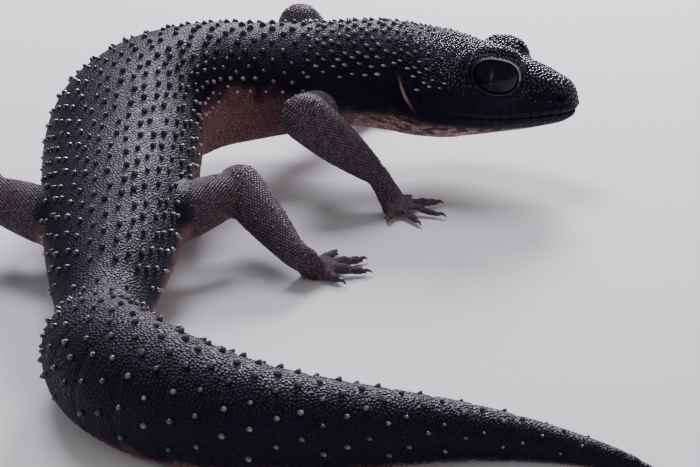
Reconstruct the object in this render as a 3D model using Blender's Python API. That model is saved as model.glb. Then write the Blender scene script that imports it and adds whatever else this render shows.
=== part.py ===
"""A still, life-size leopard gecko: a black adult that stands on its front legs with its body curled.

The head looks along +X, the trunk turns through a quarter circle towards -Y, its belly lies down
on the floor, and the tail curls back towards +X. +Y is the animal's left where the chest stands.
The origin is on the floor, under the belly. Every size is in metres, written as millimetres times MM.
"""

import math
import random

import bmesh
import bpy
from mathutils import Matrix, Vector

MM = 0.001
GAP = 0.3 * MM  # left between two parts that meet

# The line that the body follows, seen from above, from the nape to the tip of the tail
BODY_LENGTH = 168 * MM
NAPE_HEADING = math.radians(169)  # the way that the body runs, back from the nape
TURNS = (  # distance behind the nape, length and angle of each turn to the left
    (0 * MM, 10 * MM, math.radians(11)),
    (14 * MM, 38 * MM, math.radians(92)),
    (91 * MM, 48 * MM, math.radians(98)),
    (138 * MM, 30 * MM, math.radians(-34)),
)
LINE_STEP = 0.5 * MM
REST_STATION = 61 * MM  # the belly rests on the floor here, over the origin

# Distance behind the nape, half width, half height, and height of the underside above the floor.
# Below zero the underside is pressed flat.
BODY = (
    (0 * MM, 7.9 * MM, 7.6 * MM, 6.1 * MM),
    (5 * MM, 7.3 * MM, 7.4 * MM, 6.5 * MM),
    (12 * MM, 7.9 * MM, 7.4 * MM, 6.0 * MM),
    (19 * MM, 8.6 * MM, 7.9 * MM, 5.0 * MM),
    (27 * MM, 9.3 * MM, 8.6 * MM, 4.1 * MM),
    (37 * MM, 10.1 * MM, 9.2 * MM, 2.7 * MM),
    (47 * MM, 10.4 * MM, 9.3 * MM, 1.0 * MM),
    (57 * MM, 10.0 * MM, 8.8 * MM, -0.4 * MM),
    (67 * MM, 9.0 * MM, 7.9 * MM, -0.4 * MM),
    (75 * MM, 8.0 * MM, 6.9 * MM, -0.3 * MM),
    (83 * MM, 6.6 * MM, 5.8 * MM, -0.2 * MM),
    (89 * MM, 5.3 * MM, 4.9 * MM, -0.1 * MM),
    (94 * MM, 5.1 * MM, 4.8 * MM, -0.2 * MM),
    (101 * MM, 6.4 * MM, 6.0 * MM, -0.3 * MM),
    (109 * MM, 7.2 * MM, 6.7 * MM, -0.35 * MM),
    (119 * MM, 6.9 * MM, 6.4 * MM, -0.35 * MM),
    (131 * MM, 5.5 * MM, 5.1 * MM, -0.3 * MM),
    (143 * MM, 3.9 * MM, 3.6 * MM, -0.25 * MM),
    (155 * MM, 2.3 * MM, 2.2 * MM, -0.2 * MM),
    (164 * MM, 1.2 * MM, 1.2 * MM, -0.15 * MM),
    (168 * MM, 0.5 * MM, 0.6 * MM, -0.1 * MM),
)
BELLY_SQUARENESS = 2.3  # exponent of the lower half of each section; 2 is an ellipse
TRUNK_SIDES = 24
LENGTHS = (  # node, where it starts and ends behind the nape, points around, tubercles down to
    ("neck", 0 * MM, 5.6 * MM, TRUNK_SIDES, 112),
    ("chest", 5.6 * MM, 28 * MM, TRUNK_SIDES, 100),
    ("belly", 28 * MM, 56 * MM, TRUNK_SIDES, 100),
    ("pelvis", 56 * MM, 89 * MM, TRUNK_SIDES, 100),
    ("tail_base", 89 * MM, 105 * MM, 18, 105),
    ("tail_middle", 105 * MM, 124 * MM, 18, 105),
    ("tail_rear", 124 * MM, 146 * MM, 14, 105),
    ("tail_tip", 146 * MM, 168 * MM, 10, 0),
)
RING_SPACING = 2.1 * MM
TAIL_START = 89 * MM
WHORL_DEPTH = 0.08 * MM  # of the rings that mark the tail, one every two rows

# Tubercles are small blunt cones that stand in staggered rows
TUBERCLE_HEIGHT = 0.55 * MM
TUBERCLE_MARGIN = 0.27  # share of a face's width left on each side of its tubercle

# The head. Its own frame starts at the nape, with x forward, y to the left and z up.
HEAD_LENGTH = 24.6 * MM
HEAD_ROLL = math.radians(-8.5)
HEAD = (  # distance before the nape, half width, top, bottom and level of the widest place
    (0 * MM, 7.9 * MM, 7.6 * MM, -7.6 * MM, 0 * MM),
    (1.5 * MM, 8.4 * MM, 7.3 * MM, -7.9 * MM, -1.2 * MM),
    (5 * MM, 9.1 * MM, 6.9 * MM, -8.0 * MM, -2.2 * MM),
    (8 * MM, 9.2 * MM, 6.4 * MM, -7.8 * MM, -2.6 * MM),
    (11 * MM, 8.6 * MM, 5.6 * MM, -7.3 * MM, -2.8 * MM),
    (14.5 * MM, 7.3 * MM, 4.6 * MM, -6.7 * MM, -2.9 * MM),
    (18 * MM, 5.8 * MM, 3.4 * MM, -6.1 * MM, -2.9 * MM),
    (20.6 * MM, 4.8 * MM, 2.4 * MM, -5.5 * MM, -2.8 * MM),
    (22.2 * MM, 4.1 * MM, 1.5 * MM, -5.1 * MM, -2.8 * MM),
    (23.4 * MM, 3.2 * MM, 0.5 * MM, -4.6 * MM, -2.7 * MM),
    (24.2 * MM, 2.1 * MM, -0.8 * MM, -3.8 * MM, -2.6 * MM),
    (24.6 * MM, 0.9 * MM, -1.8 * MM, -3.3 * MM, -2.5 * MM),
)
HEAD_SQUARENESS = 2.2  # exponent of each section
HEAD_RINGS = 22
HEAD_TUBERCLE_ROWS = 8  # from the nape forward
HEAD_ROWS_ABOVE, HEAD_ROWS_BELOW = 9, 5  # faces on each side, above and below the mouth
MOUTH = ((0 * MM, -3.6 * MM), (7 * MM, -3.5 * MM), (13.5 * MM, -4.0 * MM), (19 * MM, -3.8 * MM),
         (24.6 * MM, -3.1 * MM))  # distance before the nape, level
MOUTH_CORNER = 7.5 * MM
MOUTH_DEPTH = 0.5 * MM
MOUTH_HALF_WIDTH = 0.4 * MM
LIP_SWELL = 0.15 * MM

EYE_CENTRE = Vector((13.7, 4.5, 1.4)) * MM
EYE_RADIUS = 3.4 * MM
EYE_LOOK = Vector((0.22, 0.95, 0.14)).normalized()  # the way that the left eye looks
BROW = 0.8 * MM  # how far the domed lids stand off the eyeball
BROW_STRETCH = 1.06  # the domes are longer than they are high
EYE_ROWS = 12
OPENING_HALF_LENGTH, OPENING_HALF_HEIGHT, OPENING_DEPTH = 3.15 * MM, 2.35 * MM, 2.2 * MM
RIM_OFFSET = 0.3 * MM
RIM_POINTS, RIM_SIDES = 18, 6
RIM_THICK, RIM_THIN = 0.55 * MM, 0.4 * MM  # radius of the upper and of the lower rim
EAR_TOP, EAR_BOTTOM = Vector((1.5, 0, 1.3)) * MM, Vector((3.7, 0, -2.9)) * MM
EAR_HALF_WIDTH, EAR_DEPTH = 0.75 * MM, 1.5 * MM
NOSTRIL_AT = Vector((22.7, 0, -1.2)) * MM
NOSTRIL_RADIUS = 0.5 * MM

# Joints of each leg, as forward, left and up from a point of the body line on the floor.
# The foot is given by its palm, the way that it points and how far its toes spread.
LEGS = {
    "front_right": {
        "station": 8.5 * MM,
        "root": Vector((-2.2, -4.5, 10.4)) * MM,
        "knee": Vector((-4.0, -16.6, 12.9)) * MM,
        "ankle": Vector((5.4, -16.9, 5.0)) * MM,
        "palm": Vector((7.6, -17.7, 1.5)) * MM,
        "points": math.radians(-16),
        "toes": ((-84, 4.0), (-42, 5.6), (-4, 6.3), (36, 6.1), (78, 4.4)),
        "radii": (3.0 * MM, 2.7 * MM, 3.3 * MM, 2.8 * MM, 1.6 * MM),
        "names": ("upper_arm", "forearm", "hand"),
    },
    "front_left": {
        "station": 8.5 * MM,
        "root": Vector((-2.2, 4.5, 11.0)) * MM,
        "knee": Vector((-5.8, 15.8, 15.9)) * MM,
        "ankle": Vector((1.8, 18.8, 5.2)) * MM,
        "palm": Vector((3.8, 20.0, 1.5)) * MM,
        "points": math.radians(32),
        "toes": ((-78, 4.4), (-36, 6.1), (4, 6.3), (42, 5.6), (84, 4.0)),
        "radii": (3.0 * MM, 2.7 * MM, 3.3 * MM, 2.8 * MM, 1.6 * MM),
        "names": ("upper_arm", "forearm", "hand"),
    },
    "hind_right": {
        "station": 70 * MM,
        "root": Vector((0, -4, 7.2)) * MM,
        "knee": Vector((8.6, -15.4, 8.8)) * MM,
        "ankle": Vector((-1.0, -22.0, 3.8)) * MM,
        "palm": Vector((0.6, -24.4, 1.7)) * MM,
        "points": math.radians(-52),
        "toes": ((-78, 4.0), (-36, 6.2), (-4, 7.2), (28, 6.8), (70, 4.2)),
        "radii": (3.7 * MM, 3.3 * MM, 3.1 * MM, 2.6 * MM, 1.7 * MM),
        "names": ("thigh", "shin", "foot"),
    },
    "hind_left": {
        "station": 70 * MM,
        "root": Vector((0, 4, 7.2)) * MM,
        "knee": Vector((7.2, 16.2, 9.0)) * MM,
        "ankle": Vector((-3.2, 21.6, 3.8)) * MM,
        "palm": Vector((-2.2, 24.3, 1.7)) * MM,
        "points": math.radians(60),
        "toes": ((-70, 4.2), (-28, 6.8), (4, 7.2), (36, 6.2), (78, 4.0)),
        "radii": (3.7 * MM, 3.3 * MM, 3.1 * MM, 2.6 * MM, 1.7 * MM),
        "names": ("thigh", "shin", "foot"),
    },
}
GIRDLE_REACH = 8.4 * MM  # length of body, before and behind its station, that a leg grows from
LEG_SIDES = 12
BONE_STEPS, END_STEPS = 5, 3  # rings along a limb, and in each of its rounded ends
PALM_HALF_WIDTH = 2.0 * MM
PALM_HALF_HEIGHTS = (1.4 * MM, 1.1 * MM, 1.0 * MM, 0.7 * MM)
PALM_REACHES = (0 * MM, 1.2 * MM, 2.0 * MM)  # how far in front of its middle it goes
TOE_JOINTS = ((0.15, 1.2), (0.36, 1.25), (0.66, 1.0), (0.9, 0.7), (1.06, 0.6))  # share, height
TOE_RADII = (0.85 * MM, 0.75 * MM, 0.7 * MM, 0.75 * MM, 0.5 * MM)
TOE_SIDES = 6
CLAW_LENGTH = 1.0 * MM
CLAW_RADII = (0.36 * MM, 0.27 * MM, 0.1 * MM)
CLAW_SIDES = 5

SKIN = (0.020, 0.017, 0.022, 1.0)
FLANK = (0.085, 0.055, 0.055, 1.0)
EYE = (0.010, 0.011, 0.014, 1.0)


def material(name, colour, roughness):
    """A plain finish."""
    made = bpy.data.materials.new(name)
    made.use_nodes = True
    surface = made.node_tree.nodes["Principled BSDF"]
    surface.inputs["Base Color"].default_value = colour
    surface.inputs["Roughness"].default_value = roughness
    surface.inputs["Metallic"].default_value = 0.0
    return made


def eased(share):
    """0 to 1, slow at both ends."""
    share = min(1.0, max(0.0, share))
    return share * share * (3 - 2 * share)


def along(stations, at):
    """The values of a table of stations at a distance, on one smooth curve through them all."""
    last = len(stations) - 2
    k = next((i for i in range(last + 1) if at <= stations[i + 1][0]), last)
    before, here, there, after = (stations[max(0, min(last + 1, k + i))] for i in (-1, 0, 1, 2))
    step = there[0] - here[0]
    t = min(1.0, max(0.0, (at - here[0]) / step))
    values = []
    for i in range(1, len(here)):
        slope_here = (there[i] - before[i]) / (there[0] - before[0])
        slope_there = (after[i] - here[i]) / (after[0] - here[0])
        values.append(
            (2 * t**3 - 3 * t**2 + 1) * here[i] + (t**3 - 2 * t**2 + t) * step * slope_here
            + (3 * t**2 - 2 * t**3) * there[i] + (t**3 - t**2) * step * slope_there
        )
    return values


def heading_at(distance):
    """The way that the body line runs at a distance behind the nape, in plan."""
    return NAPE_HEADING + sum(angle * eased((distance - start) / length)
                              for start, length, angle in TURNS)


def trace_body_line():
    """Points of the body line, one each LINE_STEP, with the rest station at the origin."""
    points = [Vector((0, 0))]
    for k in range(round(BODY_LENGTH / LINE_STEP)):
        heading = heading_at((k + 0.5) * LINE_STEP)
        points.append(points[-1] + LINE_STEP * Vector((math.cos(heading), math.sin(heading))))
    rest = points[round(REST_STATION / LINE_STEP)]
    return [p - rest for p in points]


LINE = trace_body_line()


def line_point(distance):
    """A point of the body line, in plan."""
    place = min(len(LINE) - 1.001, max(0.0, distance / LINE_STEP))
    k = int(place)
    return LINE[k].lerp(LINE[k + 1], place - k)


def body_frame(distance, height=0.0):
    """Axes forward, left and up, at a point of the body line."""
    heading = heading_at(distance) + math.pi
    spot = line_point(distance)
    return Matrix.Translation((spot.x, spot.y, height)) @ Matrix.Rotation(heading, 4, "Z")


def signed_power(value, power):
    return math.copysign(abs(value) ** power, value)


def body_ring(distance, count, grow=0.0):
    """Points around the body, from the middle of the back, over the left side."""
    half_width, half_height, underside = along(BODY, distance)
    frame = body_frame(distance, underside + half_height)
    ring = []
    for k in range(count):
        turn = 2 * math.pi * k / count
        power = 1.0 if math.cos(turn) > 0 else 2 / BELLY_SQUARENESS
        side = (half_width + grow) * signed_power(math.sin(turn), power)
        up = (half_height + grow) * signed_power(math.cos(turn), power)
        point = frame @ Vector((0, side, up))
        point.z = max(point.z, 0.0)
        ring.append(point)
    return ring


def loft(rings):
    """A closed bmesh through rings of points: one circle, extruded from ring to ring.

    Returns the bmesh and its vertices, ring by ring."""
    bm = bmesh.new()
    made = bmesh.ops.create_circle(bm, cap_ends=True, segments=len(rings[0]), radius=1.0)
    loops = [made["verts"]]
    for vert, place in zip(loops[0], rings[0]):
        vert.co = place
    for ring in rings[1:]:
        old = loops[-1]
        edges = [bm.edges.get((old[k - 1], old[k])) for k in range(len(old))]
        grown = bmesh.ops.extrude_edge_only(bm, edges=edges)
        fresh = {item for item in grown["geom"] if isinstance(item, bmesh.types.BMVert)}
        new = [next(e.other_vert(v) for e in v.link_edges if e.other_vert(v) in fresh) for v in old]
        for vert, place in zip(new, ring):
            vert.co = place
        loops.append(new)
    bmesh.ops.contextual_create(bm, geom=loops[-1])
    bmesh.ops.recalc_face_normals(bm, faces=bm.faces)
    return bm, loops


def keep(name, bm, finish):
    """Puts a bmesh in the scene as an object, shaded smooth but for its sharp edges."""
    mesh = bpy.data.meshes.new(name)
    bm.to_mesh(mesh)
    bm.free()
    mesh.shade_smooth()
    mesh.set_sharp_from_angle(angle=math.radians(50))
    mesh.materials.append(finish)
    made = bpy.data.objects.new(name, mesh)
    bpy.context.scene.collection.objects.link(made)
    return made


def cell(loops, i, j):
    """The face of a loft between its rings i and i + 1, at the point j around them."""
    corner, opposite = loops[i][j], loops[i + 1][(j + 1) % len(loops[i])]
    return next(f for f in corner.link_faces if opposite in f.verts)


def raise_tubercle(bm, face, height):
    """Stands a blunt cone on one face of the skin."""
    width = math.sqrt(face.calc_area())
    bmesh.ops.inset_individual(bm, faces=[face], thickness=TUBERCLE_MARGIN * width,
                               depth=0.45 * height, use_even_offset=True)
    bmesh.ops.poke(bm, faces=[face], offset=0.55 * height, center_mode="MEAN")


def near_a_leg(point):
    """True where a leg grows out of the body, which has no tubercles."""
    for leg in LEGS.values():
        root, knee = leg_point(leg, "root"), leg_point(leg, "knee")
        bone = knee - root
        share = min(1.0, max(0.0, (point - root).dot(bone) / bone.length_squared))
        if (point - root - share * bone).length < leg["radii"][0] + 1.4 * MM:
            return True
    return False


def whorl(ring, distance):
    """How far a ring of the tail stands out: every other one is drawn in a little."""
    return WHORL_DEPTH * (-1) ** ring if distance > TAIL_START + 2 * RING_SPACING else 0.0


def body_length(name, start, end, count, reach, finish, draw):
    """One length of the neck, trunk or tail, with its tubercles."""
    first, last = start + GAP / 2, end - (GAP / 2 if end < BODY_LENGTH else 0)
    steps = max(2, round((end - start) / RING_SPACING))
    distances = [first + (last - first) * k / steps for k in range(steps + 1)]
    row = round(start / RING_SPACING)
    bm, loops = loft([body_ring(d, count, whorl(row + i, d)) for i, d in enumerate(distances)])
    for i in range(steps):
        for j in range(count):
            across = abs((j + 0.5) / count * 360 - 360 * ((j + 0.5) / count > 0.5))
            if (row + i + j) % 2 or across > reach:
                continue
            face = cell(loops, i, j)
            if not near_a_leg(face.calc_center_median()):
                raise_tubercle(bm, face, TUBERCLE_HEIGHT * draw.uniform(0.85, 1.15))
    return keep(name, bm, finish)


def grown_body(start, end):
    """The plain body between two stations, GAP larger all round, to cut what grows from it."""
    steps = round((end - start) / RING_SPACING)
    bm, _ = loft([body_ring(start + (end - start) * k / steps, TRUNK_SIDES, GAP)
                  for k in range(steps + 1)])
    return keep("cutter_body", bm, bpy.data.materials["skin"])


def head_section(x):
    """Half width, top, bottom and widest level of the head."""
    return along(HEAD, x)


def mouth_level(x):
    return along(MOUTH, x)[0]


def head_side(x, z):
    """How far the head's side stands from its middle plane at a level."""
    half_width, top, bottom, widest = head_section(x)
    reach = top - widest if z > widest else widest - bottom
    share = min(1.0, abs(z - widest) / reach)
    return half_width * (1 - share**HEAD_SQUARENESS) ** (1 / HEAD_SQUARENESS)


def head_half_ring(x):
    """Points down the left side of the head, from the top to the chin, with the mouth's groove."""
    half_width, top, bottom, widest = head_section(x)
    lips = mouth_level(x)
    open_share = eased((x - MOUTH_CORNER) / (2 * MM)) * eased((HEAD_LENGTH - x) / (1.2 * MM))
    groove = min(MOUTH_HALF_WIDTH, 0.3 * (lips - bottom), 0.3 * (top - lips))

    def turn_of(z):
        reach = top - widest if z > widest else widest - bottom
        return math.acos(max(-1.0, min(1.0, (z - widest) / reach)))

    turns = [turn_of(lips + groove) * k / HEAD_ROWS_ABOVE for k in range(HEAD_ROWS_ABOVE + 1)]
    low = turn_of(lips - groove)
    below = [low + (math.pi - low) * k / HEAD_ROWS_BELOW for k in range(HEAD_ROWS_BELOW + 1)]
    levels = [widest + math.cos(t) * ((top - widest) if math.cos(t) > 0 else (widest - bottom))
              for t in turns]
    levels += [lips] + [widest + math.cos(t) * ((top - widest) if math.cos(t) > 0 else
                                                (widest - bottom)) for t in below]
    points = []
    for k, z in enumerate(levels):
        y = head_side(x, z)
        if k == len(turns):
            y -= min(MOUTH_DEPTH, 0.4 * half_width) * open_share
        elif abs(k - len(turns)) == 1:
            y += LIP_SWELL * open_share
        points.append(Vector((x, y, z)))
    return points


def head_ring(x):
    """Points around the head, from its top, over the left side."""
    half = head_half_ring(x)
    return half + [Vector((p.x, -p.y, p.z)) for p in reversed(half[1:-1])]


def head_frame():
    """From the head's own frame to the world."""
    _, half_height, underside = along(BODY, 0.0)
    return body_frame(0.0, underside + half_height) @ Matrix.Rotation(HEAD_ROLL, 4, "X")


def eye_axes(side):
    """The centre of one eye, and the axes that look out of it, run forward along it and up it."""
    look = Vector((EYE_LOOK.x, EYE_LOOK.y * side, EYE_LOOK.z))
    ahead = (Vector((1, 0, -0.12)) - look * look.dot(Vector((1, 0, -0.12)))).normalized()
    up = ahead.cross(look) * side
    if up.z < 0:
        up = -up
    return Vector((EYE_CENTRE.x, EYE_CENTRE.y * side, EYE_CENTRE.z)), look, ahead, up


def rim_loop(side, count):
    """Points and radii of the raised rim of the lids, round one eye."""
    centre, look, ahead, up = eye_axes(side)
    dome = EYE_RADIUS + BROW
    points = []
    for k in range(count):
        turn = 2 * math.pi * k / count
        across = (OPENING_HALF_LENGTH + RIM_OFFSET) * math.cos(turn)
        rise = (OPENING_HALF_HEIGHT + RIM_OFFSET) * math.sin(turn)
        out = math.sqrt(dome**2 - across**2 - rise**2)
        thick = RIM_THIN + (RIM_THICK - RIM_THIN) * eased(0.5 + 0.8 * math.sin(turn))
        points.append((centre + look * (out - 0.3 * thick) + ahead * across + up * rise, thick))
    return points


def opening(side, finish):
    """The cutter that opens the lids over one eye."""
    centre, look, ahead, up = eye_axes(side)
    turn = Matrix((ahead, up, look)).transposed().to_4x4()
    shape = (OPENING_HALF_LENGTH, OPENING_HALF_HEIGHT, OPENING_DEPTH)
    middle = centre + look * (EYE_RADIUS + 0.4 * BROW)
    return ball("opening", middle, 1.0, EYE_ROWS, finish, shape, turn)


def closed_tube(points, sides):
    """A bmesh ring that follows a closed loop of (point, radius)."""
    bm = bmesh.new()
    count = len(points)
    loops = []
    middle = sum((p for p, _ in points), Vector()) / count
    for k, (point, radius) in enumerate(points):
        tangent = (points[(k + 1) % count][0] - points[k - 1][0]).normalized()
        outward = (point - middle).normalized()
        binormal = tangent.cross(outward).normalized()
        outward = binormal.cross(tangent)
        loops.append([bm.verts.new(point + radius * (math.cos(a) * outward + math.sin(a) * binormal))
                      for a in (2 * math.pi * j / sides for j in range(sides))])
    edges = [[bm.edges.new((loop[j - 1], loop[j])) for j in range(sides)] for loop in loops]
    for k in range(count):
        bmesh.ops.bridge_loops(bm, edges=edges[k - 1] + edges[k])
    bmesh.ops.recalc_face_normals(bm, faces=bm.faces)
    return bm


def ball(name, centre, radius, rings, finish, squash=(1, 1, 1), turn=None):
    """A sphere, or an ellipsoid."""
    bm = bmesh.new()
    placed = Matrix.Translation(centre) @ (turn or Matrix()) @ Matrix.Diagonal((*squash, 1))
    bmesh.ops.create_uvsphere(bm, u_segments=2 * rings, v_segments=rings, radius=radius,
                              matrix=placed)
    bmesh.ops.recalc_face_normals(bm, faces=bm.faces)
    return keep(name, bm, finish)


def use(body, operation, tools):
    """Applies one Boolean to an object, and removes the tools."""
    kit = bpy.data.collections.new("tools_of_" + body.name)
    bpy.context.scene.collection.children.link(kit)
    for tool in tools:
        kit.objects.link(tool)
    cut = body.modifiers.new(operation.lower(), "BOOLEAN")
    cut.operation, cut.solver = operation, "EXACT"
    cut.operand_type, cut.collection = "COLLECTION", kit
    graph = bpy.context.evaluated_depsgraph_get()
    finished = bpy.data.meshes.new_from_object(body.evaluated_get(graph))
    body.modifiers.clear()
    body.data = finished
    for tool in tools:
        bpy.data.objects.remove(tool)
    bpy.data.collections.remove(kit)
    keep_largest(body)


def keep_largest(body):
    """Leaves only the largest closed surface of an object's mesh."""
    bm = bmesh.new()
    bm.from_mesh(body.data)
    bmesh.ops.remove_doubles(bm, verts=bm.verts, dist=0.002 * MM)
    bmesh.ops.dissolve_degenerate(bm, edges=bm.edges, dist=0.002 * MM)
    left, shells = set(bm.verts), []
    while left:
        shell, edge = set(), [left.pop()]
        while edge:
            vert = edge.pop()
            shell.add(vert)
            edge += [e.other_vert(vert) for e in vert.link_edges if e.other_vert(vert) in left]
            left -= set(edge)
        shells.append(shell)
    largest = max(shells, key=len)
    bmesh.ops.delete(bm, geom=[v for v in bm.verts if v not in largest], context="VERTS")
    bm.to_mesh(body.data)
    bm.free()
    body.data.shade_smooth()
    body.data.set_sharp_from_angle(angle=math.radians(50))


def make_head(skin, draw):
    """The head: its loft with the mouth, then lids, sockets, ears and nostrils."""
    shares = [1 - (1 - k / HEAD_RINGS) ** 1.35 for k in range(HEAD_RINGS + 1)]
    bm, loops = loft([head_ring(GAP / 2 + (HEAD_LENGTH - GAP / 2) * s) for s in shares])
    count = len(loops[0])
    for i in range(HEAD_TUBERCLE_ROWS):
        for j in range(count):
            if (i + j) % 2 == 0 and min(j, count - 1 - j) < HEAD_ROWS_ABOVE - 3:
                face = cell(loops, i, j)
                raise_tubercle(bm, face, 0.7 * TUBERCLE_HEIGHT * draw.uniform(0.85, 1.15))
    head = keep("head", bm, skin)
    sides = (1, -1)
    lids = []
    for side in sides:
        dome = (BROW_STRETCH, 1, 1)
        lids.append(ball("brow", eye_axes(side)[0], EYE_RADIUS + BROW, EYE_ROWS, skin, dome))
        lids.append(keep("rim", closed_tube(rim_loop(side, RIM_POINTS), RIM_SIDES), skin))
    use(head, "UNION", lids)
    cutters = []
    for side in sides:
        centre = Vector((EYE_CENTRE.x, EYE_CENTRE.y * side, EYE_CENTRE.z))
        cutters.append(ball("socket", centre, EYE_RADIUS + GAP, EYE_ROWS, skin))
        cutters.append(opening(side, skin))
        middle = (EAR_TOP + EAR_BOTTOM) / 2
        middle.y = side * (head_side(middle.x, middle.z) + 0.3 * MM)
        slant = EAR_TOP - EAR_BOTTOM
        lean = Matrix.Rotation(math.atan2(slant.x, slant.z), 4, "Y")
        shape = (EAR_HALF_WIDTH, EAR_DEPTH, slant.length / 2)
        cutters.append(ball("ear", middle, 1.0, 8, skin, shape, lean))
        nose = NOSTRIL_AT.copy()
        nose.y = side * (head_side(nose.x, nose.z) + 0.1 * MM)
        cutters.append(ball("nostril", nose, NOSTRIL_RADIUS, 6, skin, (1.3, 1.3, 0.9)))
    use(head, "DIFFERENCE", cutters)
    head.data.transform(head_frame())
    for side, name in zip(sides, ("eye_left", "eye_right")):
        centre = Vector((EYE_CENTRE.x, EYE_CENTRE.y * side, EYE_CENTRE.z))
        eye = ball(name, centre, EYE_RADIUS, EYE_ROWS - 2, bpy.data.materials["eye"])
        eye.data.transform(head_frame())


def leg_point(leg, joint):
    """One joint of a leg, in the world."""
    return body_frame(leg["station"]) @ leg[joint]


def limb_rings(points, radii, sides, grow=0.0):
    """Rings along a bent limb, kept above the floor. Each ring's up is as near +Z as it can be."""
    rings = []
    for k, (point, radius) in enumerate(zip(points, radii)):
        ahead = points[min(k + 1, len(points) - 1)] - points[max(k - 1, 0)]
        ahead.normalize()
        side = Vector((0, 0, 1)).cross(ahead)
        side = side.normalized() if side.length > 0.05 else Vector((1, 0, 0))
        up = ahead.cross(side)
        ring = []
        for j in range(sides):
            turn = 2 * math.pi * j / sides
            place = point + (radius + grow) * (math.sin(turn) * side + math.cos(turn) * up)
            place.z = max(place.z, 0.0)
            ring.append(place)
        rings.append(ring)
    return rings


def bone(start, end, radius_start, radius_mid, radius_end, grow=0.0):
    """A limb from joint to joint, rounded at both ends."""
    length = (end - start).length
    ahead = (end - start) / length
    points, radii = [], []
    for k in range(END_STEPS):  # the rounded start
        turn = math.pi / 2 * (k + 0.45) / (END_STEPS + 0.45)
        points.append(start - ahead * (radius_start + grow) * math.cos(turn))
        radii.append((radius_start + grow) * math.sin(turn) - grow)
    for k in range(BONE_STEPS + 1):
        share = k / BONE_STEPS
        points.append(start + (end - start) * share)
        bulge = radius_mid - (radius_start + radius_end) / 2
        radii.append(radius_start + (radius_end - radius_start) * share
                     + bulge * math.sin(math.pi * share))
    for k in reversed(range(END_STEPS)):  # the rounded end
        turn = math.pi / 2 * (k + 0.45) / (END_STEPS + 0.45)
        points.append(end + ahead * (radius_end + grow) * math.cos(turn))
        radii.append((radius_end + grow) * math.sin(turn) - grow)
    bm, _ = loft(limb_rings(points, radii, LEG_SIDES, grow))
    return bm


def toe(palm, heading, length, finish):
    """A toe that arches out of the palm and comes down on its tip, and its claw."""
    out = Vector((math.cos(heading), math.sin(heading), 0))

    def along_toe(steps, start=0.0):
        return [Vector((*(palm + out * (start + reach)).xy, height)) for reach, height in steps]

    joints = [(share * length, height * MM) for share, height in TOE_JOINTS]
    bm, _ = loft(limb_rings(along_toe(joints), TOE_RADII, TOE_SIDES))
    claw = along_toe(((0.0, 0.62 * MM), (0.5 * CLAW_LENGTH, 0.75 * MM), (CLAW_LENGTH, 0.35 * MM)),
                     length)
    nail, _ = loft(limb_rings(claw, CLAW_RADII, CLAW_SIDES))
    return [keep("toe", bm, finish), keep("claw", nail, finish)]


def make_foot(name, leg, skin):
    """The palm, five toes and their claws, as one piece."""
    ankle, palm = leg_point(leg, "ankle"), leg_point(leg, "palm")
    heading = heading_at(leg["station"]) + math.pi + leg["points"]
    out = Vector((math.cos(heading), math.sin(heading), 0))
    wrist = leg["radii"][-1]
    points = [ankle, ankle.lerp(palm, 0.55)]
    points += [Vector((*(palm + out * reach).xy, PALM_HALF_HEIGHTS[1])) for reach in PALM_REACHES]
    widths = (0.95 * wrist, 0.45 * (wrist + PALM_HALF_WIDTH), PALM_HALF_WIDTH,
              0.85 * PALM_HALF_WIDTH, 0.4 * PALM_HALF_WIDTH)
    rings = limb_rings(points, widths, 10)
    for ring, point, height in zip(rings[1:], points[1:], PALM_HALF_HEIGHTS):
        for place in ring:
            place.z = max(0.0, point.z + min(height, max(-height, place.z - point.z)))
    bm, _ = loft(rings)
    foot = keep(name, bm, skin)
    toes = []
    for spread, length in leg["toes"]:
        toes += toe(palm, heading + math.radians(spread), length * MM, skin)
    use(foot, "UNION", toes)
    return foot


def make_leg(place, leg, skin):
    """Three parts of one leg, each cut clear of the one that it grows from."""
    root, knee, ankle = (leg_point(leg, j) for j in ("root", "knee", "ankle"))
    thick, thin, joint, calf, wrist = leg["radii"]
    upper, lower, end = (f"{part}_{place.split('_')[1]}" for part in leg["names"])
    first = keep(upper, bone(root, knee, thick, 1.05 * thin, 0.8 * joint), skin)
    keep(lower, bone(knee, ankle, joint, calf, wrist), skin)
    foot = make_foot(end, leg, skin)
    shins = [keep("grown", bone(knee, ankle, joint, calf, wrist, GAP), skin) for _ in range(2)]
    body = grown_body(leg["station"] - GIRDLE_REACH, leg["station"] + GIRDLE_REACH)
    use(first, "DIFFERENCE", [body, shins[0]])
    use(foot, "DIFFERENCE", [shins[1]])


def main():
    for thing in list(bpy.data.objects):
        bpy.data.objects.remove(thing)
    skin = material("skin", SKIN, 0.55)
    material("eye", EYE, 0.1)
    draw = random.Random(11)
    make_head(skin, draw)
    for name, start, end, count, reach in LENGTHS:
        body_length(name, start, end, count, reach, skin, draw)
    for place, leg in LEGS.items():
        make_leg(place, leg, skin)


main()
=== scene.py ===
# %% [markdown]
# # A black leopard gecko, from plain solids to living skin
# The animal comes in as plain named solids of the right size. This lesson dresses them: one
# skin without seams, small raised scales over it, rows of pointed tubercles, wet eyes and claws.
# Every length is in metres, written as millimetres times MM.

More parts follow.
